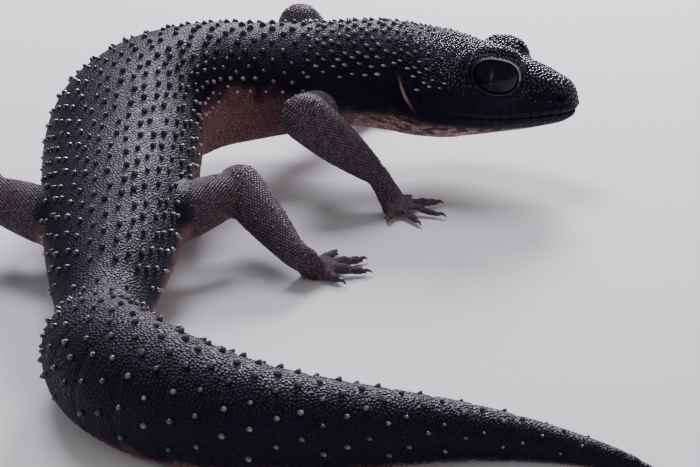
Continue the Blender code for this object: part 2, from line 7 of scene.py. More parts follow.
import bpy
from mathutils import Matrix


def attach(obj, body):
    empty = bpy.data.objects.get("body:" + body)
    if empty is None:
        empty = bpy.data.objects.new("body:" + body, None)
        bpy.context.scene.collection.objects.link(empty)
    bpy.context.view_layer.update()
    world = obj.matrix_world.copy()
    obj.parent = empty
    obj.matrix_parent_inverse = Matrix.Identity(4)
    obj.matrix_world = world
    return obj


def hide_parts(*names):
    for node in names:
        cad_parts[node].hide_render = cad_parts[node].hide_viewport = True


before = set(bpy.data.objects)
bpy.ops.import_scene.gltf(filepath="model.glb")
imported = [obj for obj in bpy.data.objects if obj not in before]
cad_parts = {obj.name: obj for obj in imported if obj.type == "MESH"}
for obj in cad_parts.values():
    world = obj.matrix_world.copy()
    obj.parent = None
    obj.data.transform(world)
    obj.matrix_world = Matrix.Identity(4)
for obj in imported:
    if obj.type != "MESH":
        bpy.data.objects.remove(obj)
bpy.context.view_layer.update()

# %% The other tools
import math

import bmesh
import bpy
import numpy as np
from mathutils import Matrix, Vector
from mathutils import noise
from mathutils.bvhtree import BVHTree
from mathutils.kdtree import KDTree

MM = 0.001
SCENE = bpy.context.scene
print("Blender", bpy.app.version_string)

# %% [markdown]
# ## The line of the body
# A lizard is easiest to think of as a line with sections strung along it. Seen from above, this
# one is nearly straight at the neck, turns a quarter circle at the chest and curls back at the tail.
# Each turn is eased in and out, so the line has no kinks. Working with whole arrays of distances
# keeps the later steps quick, because there will be tens of thousands of scales to place.

# %% The line, seen from above
BODY_LENGTH = 168 * MM
NAPE_HEADING = math.radians(169)  # the way that the body runs, back from the nape
TURNS = (  # distance behind the nape, length and angle of each turn to the left
    (0 * MM, 10 * MM, math.radians(11)),
    (14 * MM, 38 * MM, math.radians(92)),
    (91 * MM, 48 * MM, math.radians(98)),
    (138 * MM, 30 * MM, math.radians(-34)),
)
LINE_STEP = 0.5 * MM
REST_STATION = 61 * MM  # the belly rests on the floor here, over the origin


def eased(share):
    """0 to 1, slow at both ends."""
    share = np.clip(share, 0.0, 1.0)
    return share * share * (3 - 2 * share)


def heading_at(distance):
    """The way that the body line runs at a distance behind the nape."""
    return NAPE_HEADING + sum(angle * eased((distance - start) / length)
                              for start, length, angle in TURNS)


def trace_line():
    """Points of the line, one each LINE_STEP, with the rest station at the origin."""
    headings = heading_at((np.arange(round(BODY_LENGTH / LINE_STEP)) + 0.5) * LINE_STEP)
    steps = LINE_STEP * np.stack((np.cos(headings), np.sin(headings)), -1)
    points = np.concatenate((np.zeros((1, 2)), np.cumsum(steps, axis=0)))
    return points - points[round(REST_STATION / LINE_STEP)]


LINE = trace_line()
STATIONS = np.arange(len(LINE)) * LINE_STEP


def line_points(distance):
    return np.stack([np.interp(distance, STATIONS, LINE[:, axis]) for axis in (0, 1)], -1)


print("line:", len(LINE), "points, nape at", line_points(0.0) / MM, "mm")

# %% [markdown]
# ## Camera, light and floor
# The camera comes first, so that every later look is through the same lens. It stands a little
# above the animal, on its right side, with a long lens that keeps the head and the bend of the
# body in proportion. Two strong softboxes, one high over the back and one further behind, draw the
# satin light along the top of the animal. Two weak ones, in front and to the left, and an even
# grey sky open the shadows.

# %% Camera
NAPE = line_points(0.0)
AIM = (-6.857 * MM, 0.5 * MM, -10.05 * MM)  # from the nape, and from the floor
TARGET = Vector((NAPE[0] + AIM[0], NAPE[1] + AIM[1], AIM[2]))
ELEVATION = math.radians(22)
DISTANCE = 300 * MM
LENS = 108  # focal length, in mm on a sensor 36 wide

camera = bpy.data.objects.new("camera", bpy.data.cameras.new("camera"))
SCENE.collection.objects.link(camera)
camera.data.lens = LENS
camera.data.clip_start = 0.01
camera.location = TARGET + DISTANCE * Vector((0, -math.cos(ELEVATION), math.sin(ELEVATION)))
camera.rotation_euler = (TARGET - camera.location).to_track_quat("-Z", "Y").to_euler()
SCENE.camera = camera
print("camera at", [round(v / MM) for v in camera.location], "mm")

# %% Light
LIT_PLACE = Vector((0.02, 0.01, 0.01))  # the middle of what the camera sees
SKY_TONE, SKY_STRENGTH = (0.83, 0.81, 0.87, 1), 0.34


def softbox(name, place, size, watts, colour, mirrored=False):
    """A square area light that looks at the animal, and shows in its gloss only if mirrored."""
    light = bpy.data.lights.new(name, "AREA")
    light.shape, light.size, light.energy, light.color = "SQUARE", size, watts, colour
    lamp = bpy.data.objects.new(name, light)
    SCENE.collection.objects.link(lamp)
    lamp.location = place
    lamp.visible_glossy = mirrored
    lamp.rotation_euler = (LIT_PLACE - Vector(place)).to_track_quat("-Z", "Y").to_euler()


softbox("key", (-0.06, 0.24, 0.42), 0.20, 2.0, (0.92, 0.89, 1.0), mirrored=True)
softbox("rim", (0.12, 0.50, 0.26), 0.16, 5.2, (0.93, 0.90, 1.0), mirrored=True)
softbox("front", (0.30, -0.45, 0.16), 0.40, 0.9, (1.0, 0.95, 0.94))
softbox("side", (-0.45, -0.20, 0.25), 0.25, 0.6, (0.95, 0.97, 1.0))

world = bpy.data.worlds.new("studio")
world.use_nodes = True
sky = world.node_tree.nodes["Background"].inputs
sky["Color"].default_value, sky["Strength"].default_value = SKY_TONE, SKY_STRENGTH
SCENE.world = world


# %% A helper for node trees
def add(tree, kind, inputs=(), **settings):
    """Adds one node, sets its properties, and sets or links its inputs by name or number."""
    node = tree.nodes.new(kind)
    for name, value in settings.items():
        setattr(node, name, value)
    for socket, value in dict(inputs).items():
        if isinstance(value, bpy.types.NodeSocket):
            tree.links.new(value, node.inputs[socket])
        else:
            node.inputs[socket].default_value = value
    return node


def finish_named(name):
    """A new material, its node tree and its Principled BSDF."""
    made = bpy.data.materials.new(name)
    made.use_nodes = True
    return made, made.node_tree, made.node_tree.nodes["Principled BSDF"]


# %% Floor
FLOOR_HALF, FLOOR_DROP = 1.5, 0.03 * MM  # the drop keeps the feet's flats clear of it
PAPER_TONES = (0.62, 0.62, 0.63, 1), (0.68, 0.68, 0.68, 1)


def object_from(name, bm, finish):
    """Puts a bmesh in the scene as an object at the origin, shaded smooth."""
    mesh = bpy.data.meshes.new(name)
    bm.to_mesh(mesh)
    bm.free()
    mesh.shade_smooth()
    mesh.materials.append(finish)
    made = bpy.data.objects.new(name, mesh)
    SCENE.collection.objects.link(made)
    return made


paper, tree, surface = finish_named("paper")
surface.inputs["Roughness"].default_value = 0.75
place = add(tree, "ShaderNodeTexCoord").outputs["Object"]
fibres = add(tree, "ShaderNodeTexNoise", {"Vector": place, "Scale": 900.0, "Detail": 3.0})
tone = add(tree, "ShaderNodeMix", {0: fibres.outputs["Fac"], 6: PAPER_TONES[0], 7: PAPER_TONES[1]},
           data_type="RGBA")
tree.links.new(tone.outputs[2], surface.inputs["Base Color"])

bm = bmesh.new()
bmesh.ops.create_grid(bm, x_segments=1, y_segments=1, size=FLOOR_HALF,
                      matrix=Matrix.Translation((0, 0, -FLOOR_DROP)))
floor = object_from("floor", bm, paper)
print("floor:", 2 * FLOOR_HALF, "m wide")

# %% [markdown]
# ## Sections of the trunk and tail
# The same table of sections that shaped the solids shapes the skin, so the two can't drift apart.
# The skin lies a tenth of a millimetre inside them, about the depth of the small scales that
# grow out of it later. Halfway values come from one smooth curve through the table.

# %% Sections of the body
BODY = MM * np.array((  # distance behind the nape, half width, half height, height of the underside
    (0, 7.9, 7.6, 6.1),
    (5, 7.3, 7.4, 6.5),
    (12, 7.9, 7.4, 6.0),
    (19, 8.6, 7.9, 5.0),
    (27, 9.3, 8.6, 4.1),
    (37, 10.1, 9.2, 2.7),
    (47, 10.4, 9.3, 1.0),
    (57, 10.0, 8.8, -0.4),
    (67, 9.0, 7.9, -0.4),
    (75, 8.0, 6.9, -0.3),
    (83, 6.6, 5.8, -0.2),
    (89, 5.3, 4.9, -0.1),
    (94, 5.1, 4.8, -0.2),
    (101, 6.4, 6.0, -0.3),
    (109, 7.2, 6.7, -0.35),
    (119, 6.9, 6.4, -0.35),
    (131, 5.5, 5.1, -0.3),
    (143, 3.9, 3.6, -0.25),
    (155, 2.3, 2.2, -0.2),
    (164, 1.2, 1.2, -0.15),
    (168, 0.5, 0.6, -0.1),
))
BELLY_SQUARENESS = 2.3  # exponent of the lower half of each section; 2 is an ellipse
COAT_DEPTH = 0.1 * MM
TAIL_START = 89 * MM


def along(stations, at):
    """The columns of a table at some distances, on one smooth curve through them all."""
    table, at = np.array(stations), np.atleast_1d(at)
    last = len(table) - 1
    k = np.clip(np.searchsorted(table[:, 0], at, side="right") - 1, 0, last - 1)
    before, here, there, after = (table[np.clip(k + i, 0, last)] for i in (-1, 0, 1, 2))
    step = there[:, :1] - here[:, :1]
    t = np.clip((at[:, None] - here[:, :1]) / step, 0.0, 1.0)
    slope_here = (there - before) / (there[:, :1] - before[:, :1]) * step
    slope_there = (after - here) / (after[:, :1] - here[:, :1]) * step
    values = ((2 * t**3 - 3 * t**2 + 1) * here + (t**3 - 2 * t**2 + t) * slope_here
              + (3 * t**2 - 2 * t**3) * there + (t**3 - t**2) * slope_there)
    return values[:, 1:].T


print("widest at", BODY[BODY[:, 1].argmax(), 0] / MM, "mm behind the nape")


# %% Points on the body
def body_points(distance, turn, grow=0.0):
    """Points on the body, turned from the middle of the back over its left side."""
    half_width, half_height, underside = along(BODY, distance)
    power = np.where(np.cos(turn) > 0, 1.0, 2 / BELLY_SQUARENESS)
    side = (half_width + grow) * np.sign(np.sin(turn)) * np.abs(np.sin(turn)) ** power
    up = (half_height + grow) * np.sign(np.cos(turn)) * np.abs(np.cos(turn)) ** power
    left = heading_at(distance) - math.pi / 2
    spot = line_points(distance)
    return np.stack((spot[..., 0] + side * np.cos(left), spot[..., 1] + side * np.sin(left),
                     np.maximum(underside + half_height + up, 0.0)), -1)


def body_frame(distance, height=0.0):
    """Axes forward, left and up, at a point of the body line."""
    spot = line_points(distance)
    turn = Matrix.Rotation(float(heading_at(distance)) + math.pi, 4, "Z")
    return Matrix.Translation((*spot, height)) @ turn


back = body_points(BODY[:, 0], 0 * BODY[:, 0])[:, 2]
print("highest point of the back:", round(float(back.max()) / MM, 1), "mm")

# %% [markdown]
# ## Sections of the head
# The head has a frame of its own: x forward from the nape, y to the left, z up. It is a blunt
# wedge, widest behind the jaw and rounded at the snout, and it is rolled a little to one side.

# %% Sections of the head
HEAD_LENGTH = 24.6 * MM
HEAD_ROLL = math.radians(-8.5)
HEAD = MM * np.array((  # distance before the nape, half width, top, bottom and level of the widest place
    (0, 7.9, 7.6, -7.6, 0),
    (1.5, 8.4, 7.3, -7.9, -1.2),
    (5, 9.1, 6.9, -8.0, -2.2),
    (8, 9.2, 6.4, -7.8, -2.6),
    (11, 8.6, 5.6, -7.3, -2.8),
    (14.5, 7.3, 4.6, -6.7, -2.9),
    (18, 5.8, 3.4, -6.1, -2.9),
    (20.6, 4.8, 2.4, -5.5, -2.8),
    (22.2, 4.1, 1.5, -5.1, -2.8),
    (23.4, 3.2, 0.5, -4.6, -2.7),
    (24.2, 2.1, -0.8, -3.8, -2.6),
    (24.6, 0.9, -1.8, -3.3, -2.5),
))
HEAD_SQUARENESS = 2.2  # exponent of each section
HEAD_FRAME = body_frame(0.0, BODY[0][2] + BODY[0][3]) @ Matrix.Rotation(HEAD_ROLL, 4, "X")
TO_WORLD = np.array(HEAD_FRAME)
TO_HEAD = np.array(HEAD_FRAME.inverted())


def moved(points, matrix):
    """Points put through a 4x4 matrix."""
    return points @ matrix[:3, :3].T + matrix[:3, 3]


def head_points(x, turn, grow=0.0):
    """Points on the head, in its own frame, turned from its top over the left side."""
    half_width, top, bottom, widest = along(HEAD, x)
    rise = np.cos(turn)
    reach = np.where(rise > 0, top - widest, widest - bottom) + grow
    width = (1 - np.minimum(1.0, np.abs(rise)) ** HEAD_SQUARENESS) ** (1 / HEAD_SQUARENESS)
    return np.stack((x + 0 * rise, (half_width + grow) * np.sign(np.sin(turn)) * width,
                     widest + reach * rise), -1)


print("head:", HEAD_LENGTH / MM, "mm long and", round(2 * HEAD[:, 1].max() / MM, 1), "mm wide")

# %% [markdown]
# ## Legs
# Each leg is given by its joints, as forward, left and up from a point of the body line, and each
# foot by its palm, the way that it points and how far its toes spread. The two arms share their
# thicknesses and the place that they grow from, and so do the two hind legs.

# %% Joints of the legs
ARM = {"station": 8.5 * MM, "radii": (3.0, 2.7, 3.3, 2.8, 1.6)}
HIND_LEG = {"station": 70 * MM, "radii": (3.7, 3.3, 3.1, 2.6, 1.7)}
LEGS = (  # in mm and degrees; a toe has a turn from the way that its foot points, and a length
    {**ARM, "foot": "hand_right", "root": (-2.2, -4.5, 10.4), "knee": (-4.0, -16.6, 12.9),
     "ankle": (5.4, -16.9, 5.0), "palm": (7.6, -17.7, 1.5), "points": -16,
     "toes": ((-84, 4.0), (-42, 5.6), (-4, 6.3), (36, 6.1), (78, 4.4))},
    {**ARM, "foot": "hand_left", "root": (-2.2, 4.5, 11.0), "knee": (-5.8, 15.8, 15.9),
     "ankle": (1.8, 18.8, 5.2), "palm": (3.8, 20.0, 1.5), "points": 32,
     "toes": ((-78, 4.4), (-36, 6.1), (4, 6.3), (42, 5.6), (84, 4.0))},
    {**HIND_LEG, "foot": "foot_right", "root": (0, -4, 7.2), "knee": (8.6, -15.4, 8.8),
     "ankle": (-1.0, -22.0, 3.8), "palm": (0.6, -24.4, 1.7), "points": -52,
     "toes": ((-78, 4.0), (-36, 6.2), (-4, 7.2), (28, 6.8), (70, 4.2))},
    {**HIND_LEG, "foot": "foot_left", "root": (0, 4, 7.2), "knee": (7.2, 16.2, 9.0),
     "ankle": (-3.2, 21.6, 3.8), "palm": (-2.2, 24.3, 1.7), "points": 60,
     "toes": ((-70, 4.2), (-28, 6.8), (4, 7.2), (36, 6.2), (78, 4.0))},
)


def leg_point(leg, joint):
    """One joint of a leg, in the world."""
    return body_frame(leg["station"]) @ (Vector(leg[joint]) * MM)


print("legs:", len(LEGS), "with feet", [leg["foot"] for leg in LEGS])

# %% [markdown]
# ## One closed mesh for all the flesh
# A loft is one circle, extruded from ring to ring. The head and body are one loft, and each bone
# of a leg, each palm and each toe is another. They overlap, and a voxel remesh melts them into one
# even skin of small squares. A Boolean union would keep hard creases where a leg meets the body,
# and the remesh softens them as flesh does.

# %% Lofts
flesh = bmesh.new()


def loft(rings):
    """A closed bmesh through rings of points: one circle, extruded from ring to ring."""
    bm = bmesh.new()
    loop = bmesh.ops.create_circle(bm, cap_ends=True, segments=len(rings[0]), radius=1.0)["verts"]
    for vert, place in zip(loop, rings[0]):
        vert.co = place
    for ring in rings[1:]:
        edges = [bm.edges.get((loop[k - 1], loop[k])) for k in range(len(loop))]
        grown = bmesh.ops.extrude_edge_only(bm, edges=edges)
        fresh = {item for item in grown["geom"] if isinstance(item, bmesh.types.BMVert)}
        loop = [next(e.other_vert(v) for e in v.link_edges if e.other_vert(v) in fresh)
                for v in loop]
        for vert, place in zip(loop, ring):
            vert.co = place
    bmesh.ops.contextual_create(bm, geom=loop)
    bmesh.ops.recalc_face_normals(bm, faces=bm.faces)
    return bm


def join(whole, bm):
    """Adds one bmesh to another, and frees it."""
    passing = bpy.data.meshes.new("passing")
    bm.to_mesh(passing)
    bm.free()
    whole.from_mesh(passing)
    bpy.data.meshes.remove(passing)


# %% Head and body
BODY_SIDES = 72
HEAD_RINGS, SNOUT_CROWDING = 60, 1.5  # the rings stand closer together towards the snout
RING_SPACING = 0.8 * MM

around = np.arange(BODY_SIDES) * 2 * math.pi / BODY_SIDES
head_places = HEAD_LENGTH * (1 - (1 - np.linspace(1, 0.02, HEAD_RINGS)) ** SNOUT_CROWDING)
rings = [moved(head_points(np.full(BODY_SIDES, x), around, -COAT_DEPTH), TO_WORLD)
         for x in head_places]
rings += [body_points(np.full(BODY_SIDES, d), around, -COAT_DEPTH)
          for d in np.arange(0.6 * MM, BODY_LENGTH, RING_SPACING)]
join(flesh, loft(rings))
print("body loft:", len(rings), "rings")


# %% Rings along a limb
def limb_rings(points, radii, sides):
    """Rings along a bent limb, kept above the floor. Each ring's up is as near +Z as it can be."""
    rings = []
    for k, (point, radius) in enumerate(zip(points, radii)):
        ahead = (points[min(k + 1, len(points) - 1)] - points[max(k - 1, 0)]).normalized()
        side = Vector((0, 0, 1)).cross(ahead)
        side = side.normalized() if side.length > 0.05 else Vector((1, 0, 0))
        up = ahead.cross(side)
        turns = [2 * math.pi * j / sides for j in range(sides)]
        ring = [point + radius * (math.sin(t) * side + math.cos(t) * up) for t in turns]
        rings.append([Vector((p.x, p.y, max(p.z, 0.0))) for p in ring])
    return rings


# %% Limbs
LIMB_SIDES, LIMB_STEPS, ROUND_STEPS = 24, 14, 6
LIMB_COAT = 0.8 * COAT_DEPTH  # the scales of the limbs are finer


def bone(start, end, radius_start, radius_mid, radius_end):
    """Centres and radii of a limb from joint to joint, rounded at both ends."""
    ahead = (end - start).normalized()
    turns = [math.pi / 2 * (k + 0.45) / (ROUND_STEPS + 0.45) for k in range(ROUND_STEPS)]
    points = [start - ahead * radius_start * math.cos(turn) for turn in turns]
    radii = [radius_start * math.sin(turn) for turn in turns]
    bulge = radius_mid - (radius_start + radius_end) / 2
    for k in range(LIMB_STEPS + 1):
        share = k / LIMB_STEPS
        points.append(start.lerp(end, share))
        radii.append(radius_start + (radius_end - radius_start) * share
                     + bulge * math.sin(math.pi * share))
    points += [end + ahead * radius_end * math.cos(turn) for turn in reversed(turns)]
    radii += [radius_end * math.sin(turn) for turn in reversed(turns)]
    return points, [radius - LIMB_COAT for radius in radii]


bones = []  # centres and radii of each bone, kept for the scales
for leg in LEGS:
    root, knee, ankle = (leg_point(leg, joint) for joint in ("root", "knee", "ankle"))
    thick, thin, joint, calf, wrist = (radius * MM for radius in leg["radii"])
    bones.append(bone(root, knee, thick, 1.05 * thin, 0.8 * joint))
    bones.append(bone(knee, ankle, joint, calf, wrist))
for points, radii in bones:
    join(flesh, loft(limb_rings(points, radii, LIMB_SIDES)))
print("limbs:", len(bones), "bones")

# %% [markdown]
# ## Hands and feet
# A gecko's toe is a thin finger with knobbed joints that arches up out of the palm and comes down
# on its tip. Its joints are a few shares of its length with a height and a thickness each, and a
# smooth curve through them gives the rings.

# %% Palms
PALM_HALF_WIDTH = 2.0 * MM
PALM_HALF_HEIGHTS = (1.4 * MM, 1.1 * MM, 1.0 * MM, 0.7 * MM)
PALM_REACHES = (0 * MM, 1.2 * MM, 2.0 * MM)
toes = []  # palm, way that it points, length

for leg in LEGS:
    ankle, palm = leg_point(leg, "ankle"), leg_point(leg, "palm")
    heading = float(heading_at(leg["station"])) + math.pi + math.radians(leg["points"])
    out = Vector((math.cos(heading), math.sin(heading), 0))
    wrist = leg["radii"][-1] * MM
    points = [ankle, ankle.lerp(palm, 0.55)]
    points += [Vector((*(palm + out * reach).xy, PALM_HALF_HEIGHTS[1])) for reach in PALM_REACHES]
    widths = (0.95 * wrist, 0.45 * (wrist + PALM_HALF_WIDTH), PALM_HALF_WIDTH,
              0.85 * PALM_HALF_WIDTH, 0.4 * PALM_HALF_WIDTH)
    rings = limb_rings(points, widths, LIMB_SIDES)
    for ring, point, height in zip(rings[1:], points[1:], PALM_HALF_HEIGHTS):
        for spot in ring:
            spot.z = max(0.0, point.z + min(height, max(-height, spot.z - point.z)))
    join(flesh, loft(rings))
    toes += [(palm, heading + math.radians(spread), length * MM) for spread, length in leg["toes"]]
print("palms:", len(LEGS))

# %% Toes
TOE = (  # share of its length, height above the floor, radius
    (0.05, 1.15 * MM, 0.80 * MM),
    (0.20, 1.22 * MM, 0.78 * MM),
    (0.36, 1.25 * MM, 0.72 * MM),
    (0.50, 1.12 * MM, 0.62 * MM),
    (0.64, 1.00 * MM, 0.68 * MM),
    (0.78, 0.82 * MM, 0.56 * MM),
    (0.92, 0.66 * MM, 0.60 * MM),
    (1.06, 0.58 * MM, 0.34 * MM),
)
TOE_SIDES, TOE_RINGS = 14, 16


def toe_course(table, at, palm, heading, reaches):
    """Centres and radii at some places of a table, each at its own reach in front of a palm."""
    heights, radii = along(table, at)
    centres = [Vector((palm.x + math.cos(heading) * r, palm.y + math.sin(heading) * r, h))
               for r, h in zip(reaches, heights)]
    return centres, [float(r) for r in radii]


shares = np.linspace(TOE[0][0], TOE[-1][0], TOE_RINGS)
for palm, heading, length in toes:
    course = toe_course(TOE, shares, palm, heading, length * shares)
    join(flesh, loft(limb_rings(*course, TOE_SIDES)))
print("toes:", len(toes))

# %% [markdown]
# ## Brows
# The lids of a leopard gecko are thick and domed, and stand out over the skull like goggles. Each
# dome is a sphere a little larger than the eyeball, stretched along the head, in the same melt.

# %% Brows
EYE_CENTRE = Vector((13.7, 4.5, 1.4)) * MM
EYE_RADIUS = 3.4 * MM
EYE_LOOK = Vector((0.22, 0.95, 0.14)).normalized()  # the way that the left eye looks
BROW = 0.8 * MM  # how far the lids stand off the eyeball
BROW_STRETCH = 1.06
EYE_DIP = -0.12  # slope of the eye's own front-to-back axis
SIDES = (1, -1)  # left and right


def eye_axes(side):
    """The centre of one eye, and the axes that look out of it, run forward along it and up it."""
    look = Vector((EYE_LOOK.x, EYE_LOOK.y * side, EYE_LOOK.z))
    level = Vector((1, 0, EYE_DIP))
    ahead = (level - look * look.dot(level)).normalized()
    up = ahead.cross(look) * side
    if up.z < 0:
        up = -up
    return Vector((EYE_CENTRE.x, EYE_CENTRE.y * side, EYE_CENTRE.z)), look, ahead, up


for side in SIDES:
    bm = bmesh.new()
    centre = eye_axes(side)[0]
    placed = HEAD_FRAME @ Matrix.Translation(centre) @ Matrix.Diagonal((BROW_STRETCH, 1, 1, 1))
    bmesh.ops.create_uvsphere(bm, u_segments=48, v_segments=24, radius=EYE_RADIUS + BROW, matrix=placed)
    bmesh.ops.recalc_face_normals(bm, faces=bm.faces)
    join(flesh, bm)
print("brows:", len(SIDES))

# %% Melt the flesh into one skin
VOXEL = 0.52 * MM


def remeshed(bm, voxel):
    """The mesh of a bmesh of overlapping closed shapes, as one even skin."""
    rough = bpy.data.meshes.new("rough")
    bm.to_mesh(rough)
    bm.free()
    lump = bpy.data.objects.new("lump", rough)
    SCENE.collection.objects.link(lump)
    even = lump.modifiers.new("even", "REMESH")
    even.mode, even.voxel_size = "VOXEL", voxel
    graph = bpy.context.evaluated_depsgraph_get()
    made = bpy.data.meshes.new_from_object(lump.evaluated_get(graph))
    bpy.data.objects.remove(lump)
    bpy.data.meshes.remove(rough)
    return made


skin_mesh = remeshed(flesh, VOXEL)
print("skin:", len(skin_mesh.vertices), "points,", len(skin_mesh.polygons), "faces")

# %% [markdown]
# ## Evening out
# A remeshed surface is faintly terraced. Taubin smoothing takes a step towards the neighbours'
# mean and then a slightly larger one away from it, so the terraces go but the toes don't shrink.

# %% Smoothing
STEP_IN, STEP_OUT = 0.5, -0.52


def values_of(items, name, kind=np.float32, width=3):
    """One property of every point, edge or face of a mesh, as rows of an array."""
    values = np.empty(width * len(items), dtype=kind)
    items.foreach_get(name, values)
    return values.reshape(-1, width)


def vertex_places(mesh):
    return values_of(mesh.vertices, "co").astype(float)


def vertex_normals(mesh):
    return values_of(mesh.vertex_normals, "vector").astype(float)


def put_places(mesh, places):
    mesh.vertices.foreach_set("co", places.astype(np.float32).ravel())
    mesh.update()


def neighbours_sum(values, ends):
    total = np.bincount(ends[:, 0], values[ends[:, 1]], len(values))
    return total + np.bincount(ends[:, 1], values[ends[:, 0]], len(values))


def evened(mesh, rounds, share=1.0):
    """A mesh after some rounds of Taubin smoothing, as strong at each point as its share says."""
    places, ends = vertex_places(mesh), values_of(mesh.edges, "vertices", np.int32, 2)
    degree = np.bincount(ends.ravel(), minlength=len(places))[:, None]
    share = np.broadcast_to(np.asarray(share, dtype=float), (len(places),))[:, None]
    for k in range(2 * rounds):
        mean = np.stack([neighbours_sum(column, ends) for column in places.T], -1) / degree
        places = places + (STEP_IN if k % 2 == 0 else STEP_OUT) * share * (mean - places)
    put_places(mesh, places)


evened(skin_mesh, 8)
print("evened:", len(skin_mesh.edges), "edges")

# %% [markdown]
# ## Where on the animal is a point?
# Folds, colours and scales all follow the animal, not the room. So each point gets an address:
# its distance behind the nape (below zero on the head), its turn from the middle of the back, and
# how far out it lies, where 1 is the surface. What lies further out than the body is a limb.

# %% Addresses on the animal
CHUNK = 8000  # points worked on at once, which keeps the arrays small
HEAD_REACH = 26 * MM


def near_head(own, start=0.0):
    """Which points, given in the head's own frame, are on the head in front of start."""
    return (own[:, 0] > start) & (np.abs(own).max(-1) < HEAD_REACH)


def address(points):
    """Distance behind the nape, turn from the middle of the back and how far out, for points."""
    distance = np.empty(len(points))
    for k in range(0, len(points), CHUNK):
        part = points[k:k + CHUNK, :2]
        nearest = ((part[:, None, :] - LINE[None]) ** 2).sum(-1).argmin(1)
        heading = heading_at(STATIONS[nearest])
        run = np.stack((np.cos(heading), np.sin(heading)), -1)
        along_line = np.clip(((part - LINE[nearest]) * run).sum(-1), -LINE_STEP, LINE_STEP)
        distance[k:k + CHUNK] = np.clip(STATIONS[nearest] + along_line, 0.0, BODY_LENGTH)
    spot = line_points(distance)
    left = heading_at(distance) - math.pi / 2
    half_width, half_height, underside = along(BODY, distance)
    side = ((points[:, :2] - spot) * np.stack((np.cos(left), np.sin(left)), -1)).sum(-1) / half_width
    up = (points[:, 2] - underside - half_height) / half_height
    own = moved(points, TO_HEAD)
    in_head = near_head(own)
    half_width, top, bottom, widest = along(HEAD, own[:, 0])
    reach = np.where(own[:, 2] > widest, top - widest, widest - bottom)
    side = np.where(in_head, own[:, 1] / half_width, side)
    up = np.where(in_head, (own[:, 2] - widest) / reach, up)
    distance = np.where(in_head, -own[:, 0], distance)
    return distance, np.arctan2(side, up), np.hypot(side, up)


def hill(value, width):
    """1 at zero, falling smoothly to nothing a few widths away."""
    return np.exp(-((value / width) ** 2))


print("points on the head:", int((address(vertex_places(skin_mesh))[0] < 0).sum()))

# %% How far from each leg
PALM_REACH = 9.5 * MM  # from the middle of a palm to past its claws
LEG_LINES = [[leg_point(leg, joint) for joint in ("root", "knee", "ankle", "palm")]
             for leg in LEGS]


def leg_place(points):
    """Nearest leg, distance along it, how far off its line each point is, and the way it runs."""
    best = np.full(len(points), np.inf)
    which, travelled = np.zeros(len(points), dtype=int), np.zeros(len(points))
    runs = np.zeros((len(points), 3))
    for k, joints in enumerate(LEG_LINES):
        passed = 0.0
        for start, end in zip(joints, joints[1:]):
            bone_line = np.array(end - start)
            length = np.linalg.norm(bone_line)
            share = np.clip((points - np.array(start)) @ bone_line / length**2, 0, 1)
            gap = np.linalg.norm(points - np.array(start) - share[:, None] * bone_line, axis=1)
            closer = gap < best
            best[closer], which[closer] = gap[closer], k
            travelled[closer] = passed + share[closer] * length
            runs[closer] = bone_line / length
            passed += length
        beyond = np.linalg.norm(points - np.array(joints[-1]), axis=1)
        at_foot = (which == k) & (beyond < PALM_REACH) & (travelled > passed - 0.1 * MM)
        travelled[at_foot] = passed + beyond[at_foot]
    return which, travelled, best, runs


print("points nearest a hind leg:", int((leg_place(vertex_places(skin_mesh))[0] > 1).sum()))

# %% [markdown]
# ## Softer hollows, finer head and feet
# Armpits and groins are rounded by more smoothing just there. Then the faces of the head and the
# feet are cut in four, and those along the lips, lids, ears and nostrils in four again, because
# the head gets the closest look. The trunk stays coarse: its scales will cover it.

# %% Smooth where the legs leave the body
distance, _, _ = address(vertex_places(skin_mesh))
_, travelled, off, _ = leg_place(vertex_places(skin_mesh))
root_share = eased((9 * MM - travelled) / (4 * MM)) * eased((5.5 * MM - off) / (1.5 * MM))
nape_share = hill(distance - 0.3 * MM, 1.5 * MM)
evened(skin_mesh, 25, np.maximum(root_share, nape_share))
print("softened points:", int((np.maximum(root_share, nape_share) > 0.5).sum()))

# %% Lines and openings of the head
MOUTH = MM * np.array((  # distance before the nape, level of the line
    (0, -3.6), (7, -3.5), (13.5, -4.0), (19, -3.8), (24.6, -3.1),
))
MOUTH_CORNER = 7.5 * MM
OPENING_HALF_LENGTH, OPENING_HALF_HEIGHT = 3.1 * MM, 2.3 * MM
LID_SQUARENESS = 2.6  # exponent of the upper edge of the opening; the lower one is an ellipse
EAR_BOW, EAR_ASIDE = 0.30 * MM, 4 * MM  # the ears lie further aside than this on the head
EAR_TOP, EAR_BOTTOM = Vector((1.5, 0, 1.3)) * MM, Vector((3.7, 0, -2.9)) * MM
NOSTRIL_AT = Vector((22.7, 0, -1.2)) * MM


def eye_gap(own):
    """How far points are from the middle of the lids' opening on their side, 1 at its edge."""
    gap, rises = np.full(len(own), 9.0), np.zeros(len(own))
    for side in SIDES:
        centre, look, ahead, up = (np.array(v) for v in eye_axes(side))
        ray = own - centre
        across, rise, front = ray @ ahead, ray @ up, ray @ look
        near = (front > 0) & (np.linalg.norm(ray, axis=1) < 3 * EYE_RADIUS)
        power = np.where(rise > 0, LID_SQUARENESS, 2.0)
        shape = (np.abs(across / OPENING_HALF_LENGTH) ** power
                 + np.abs(rise / OPENING_HALF_HEIGHT) ** power) ** (1 / power)
        gap = np.where(near & (shape < gap), shape, gap)
        rises = np.where(near & (shape <= gap), rise, rises)
    return gap, rises


def ear_gap(own):
    """Distance in front of the ear's slanted line, and along it, 0 at its top and 1 below."""
    line = np.array(EAR_BOTTOM - EAR_TOP)[[0, 2]]
    length = np.linalg.norm(line)
    ray = own[:, [0, 2]] - np.array(EAR_TOP)[[0, 2]]
    return (ray[:, 0] * -line[1] + ray[:, 1] * line[0]) / length, ray @ line / length**2


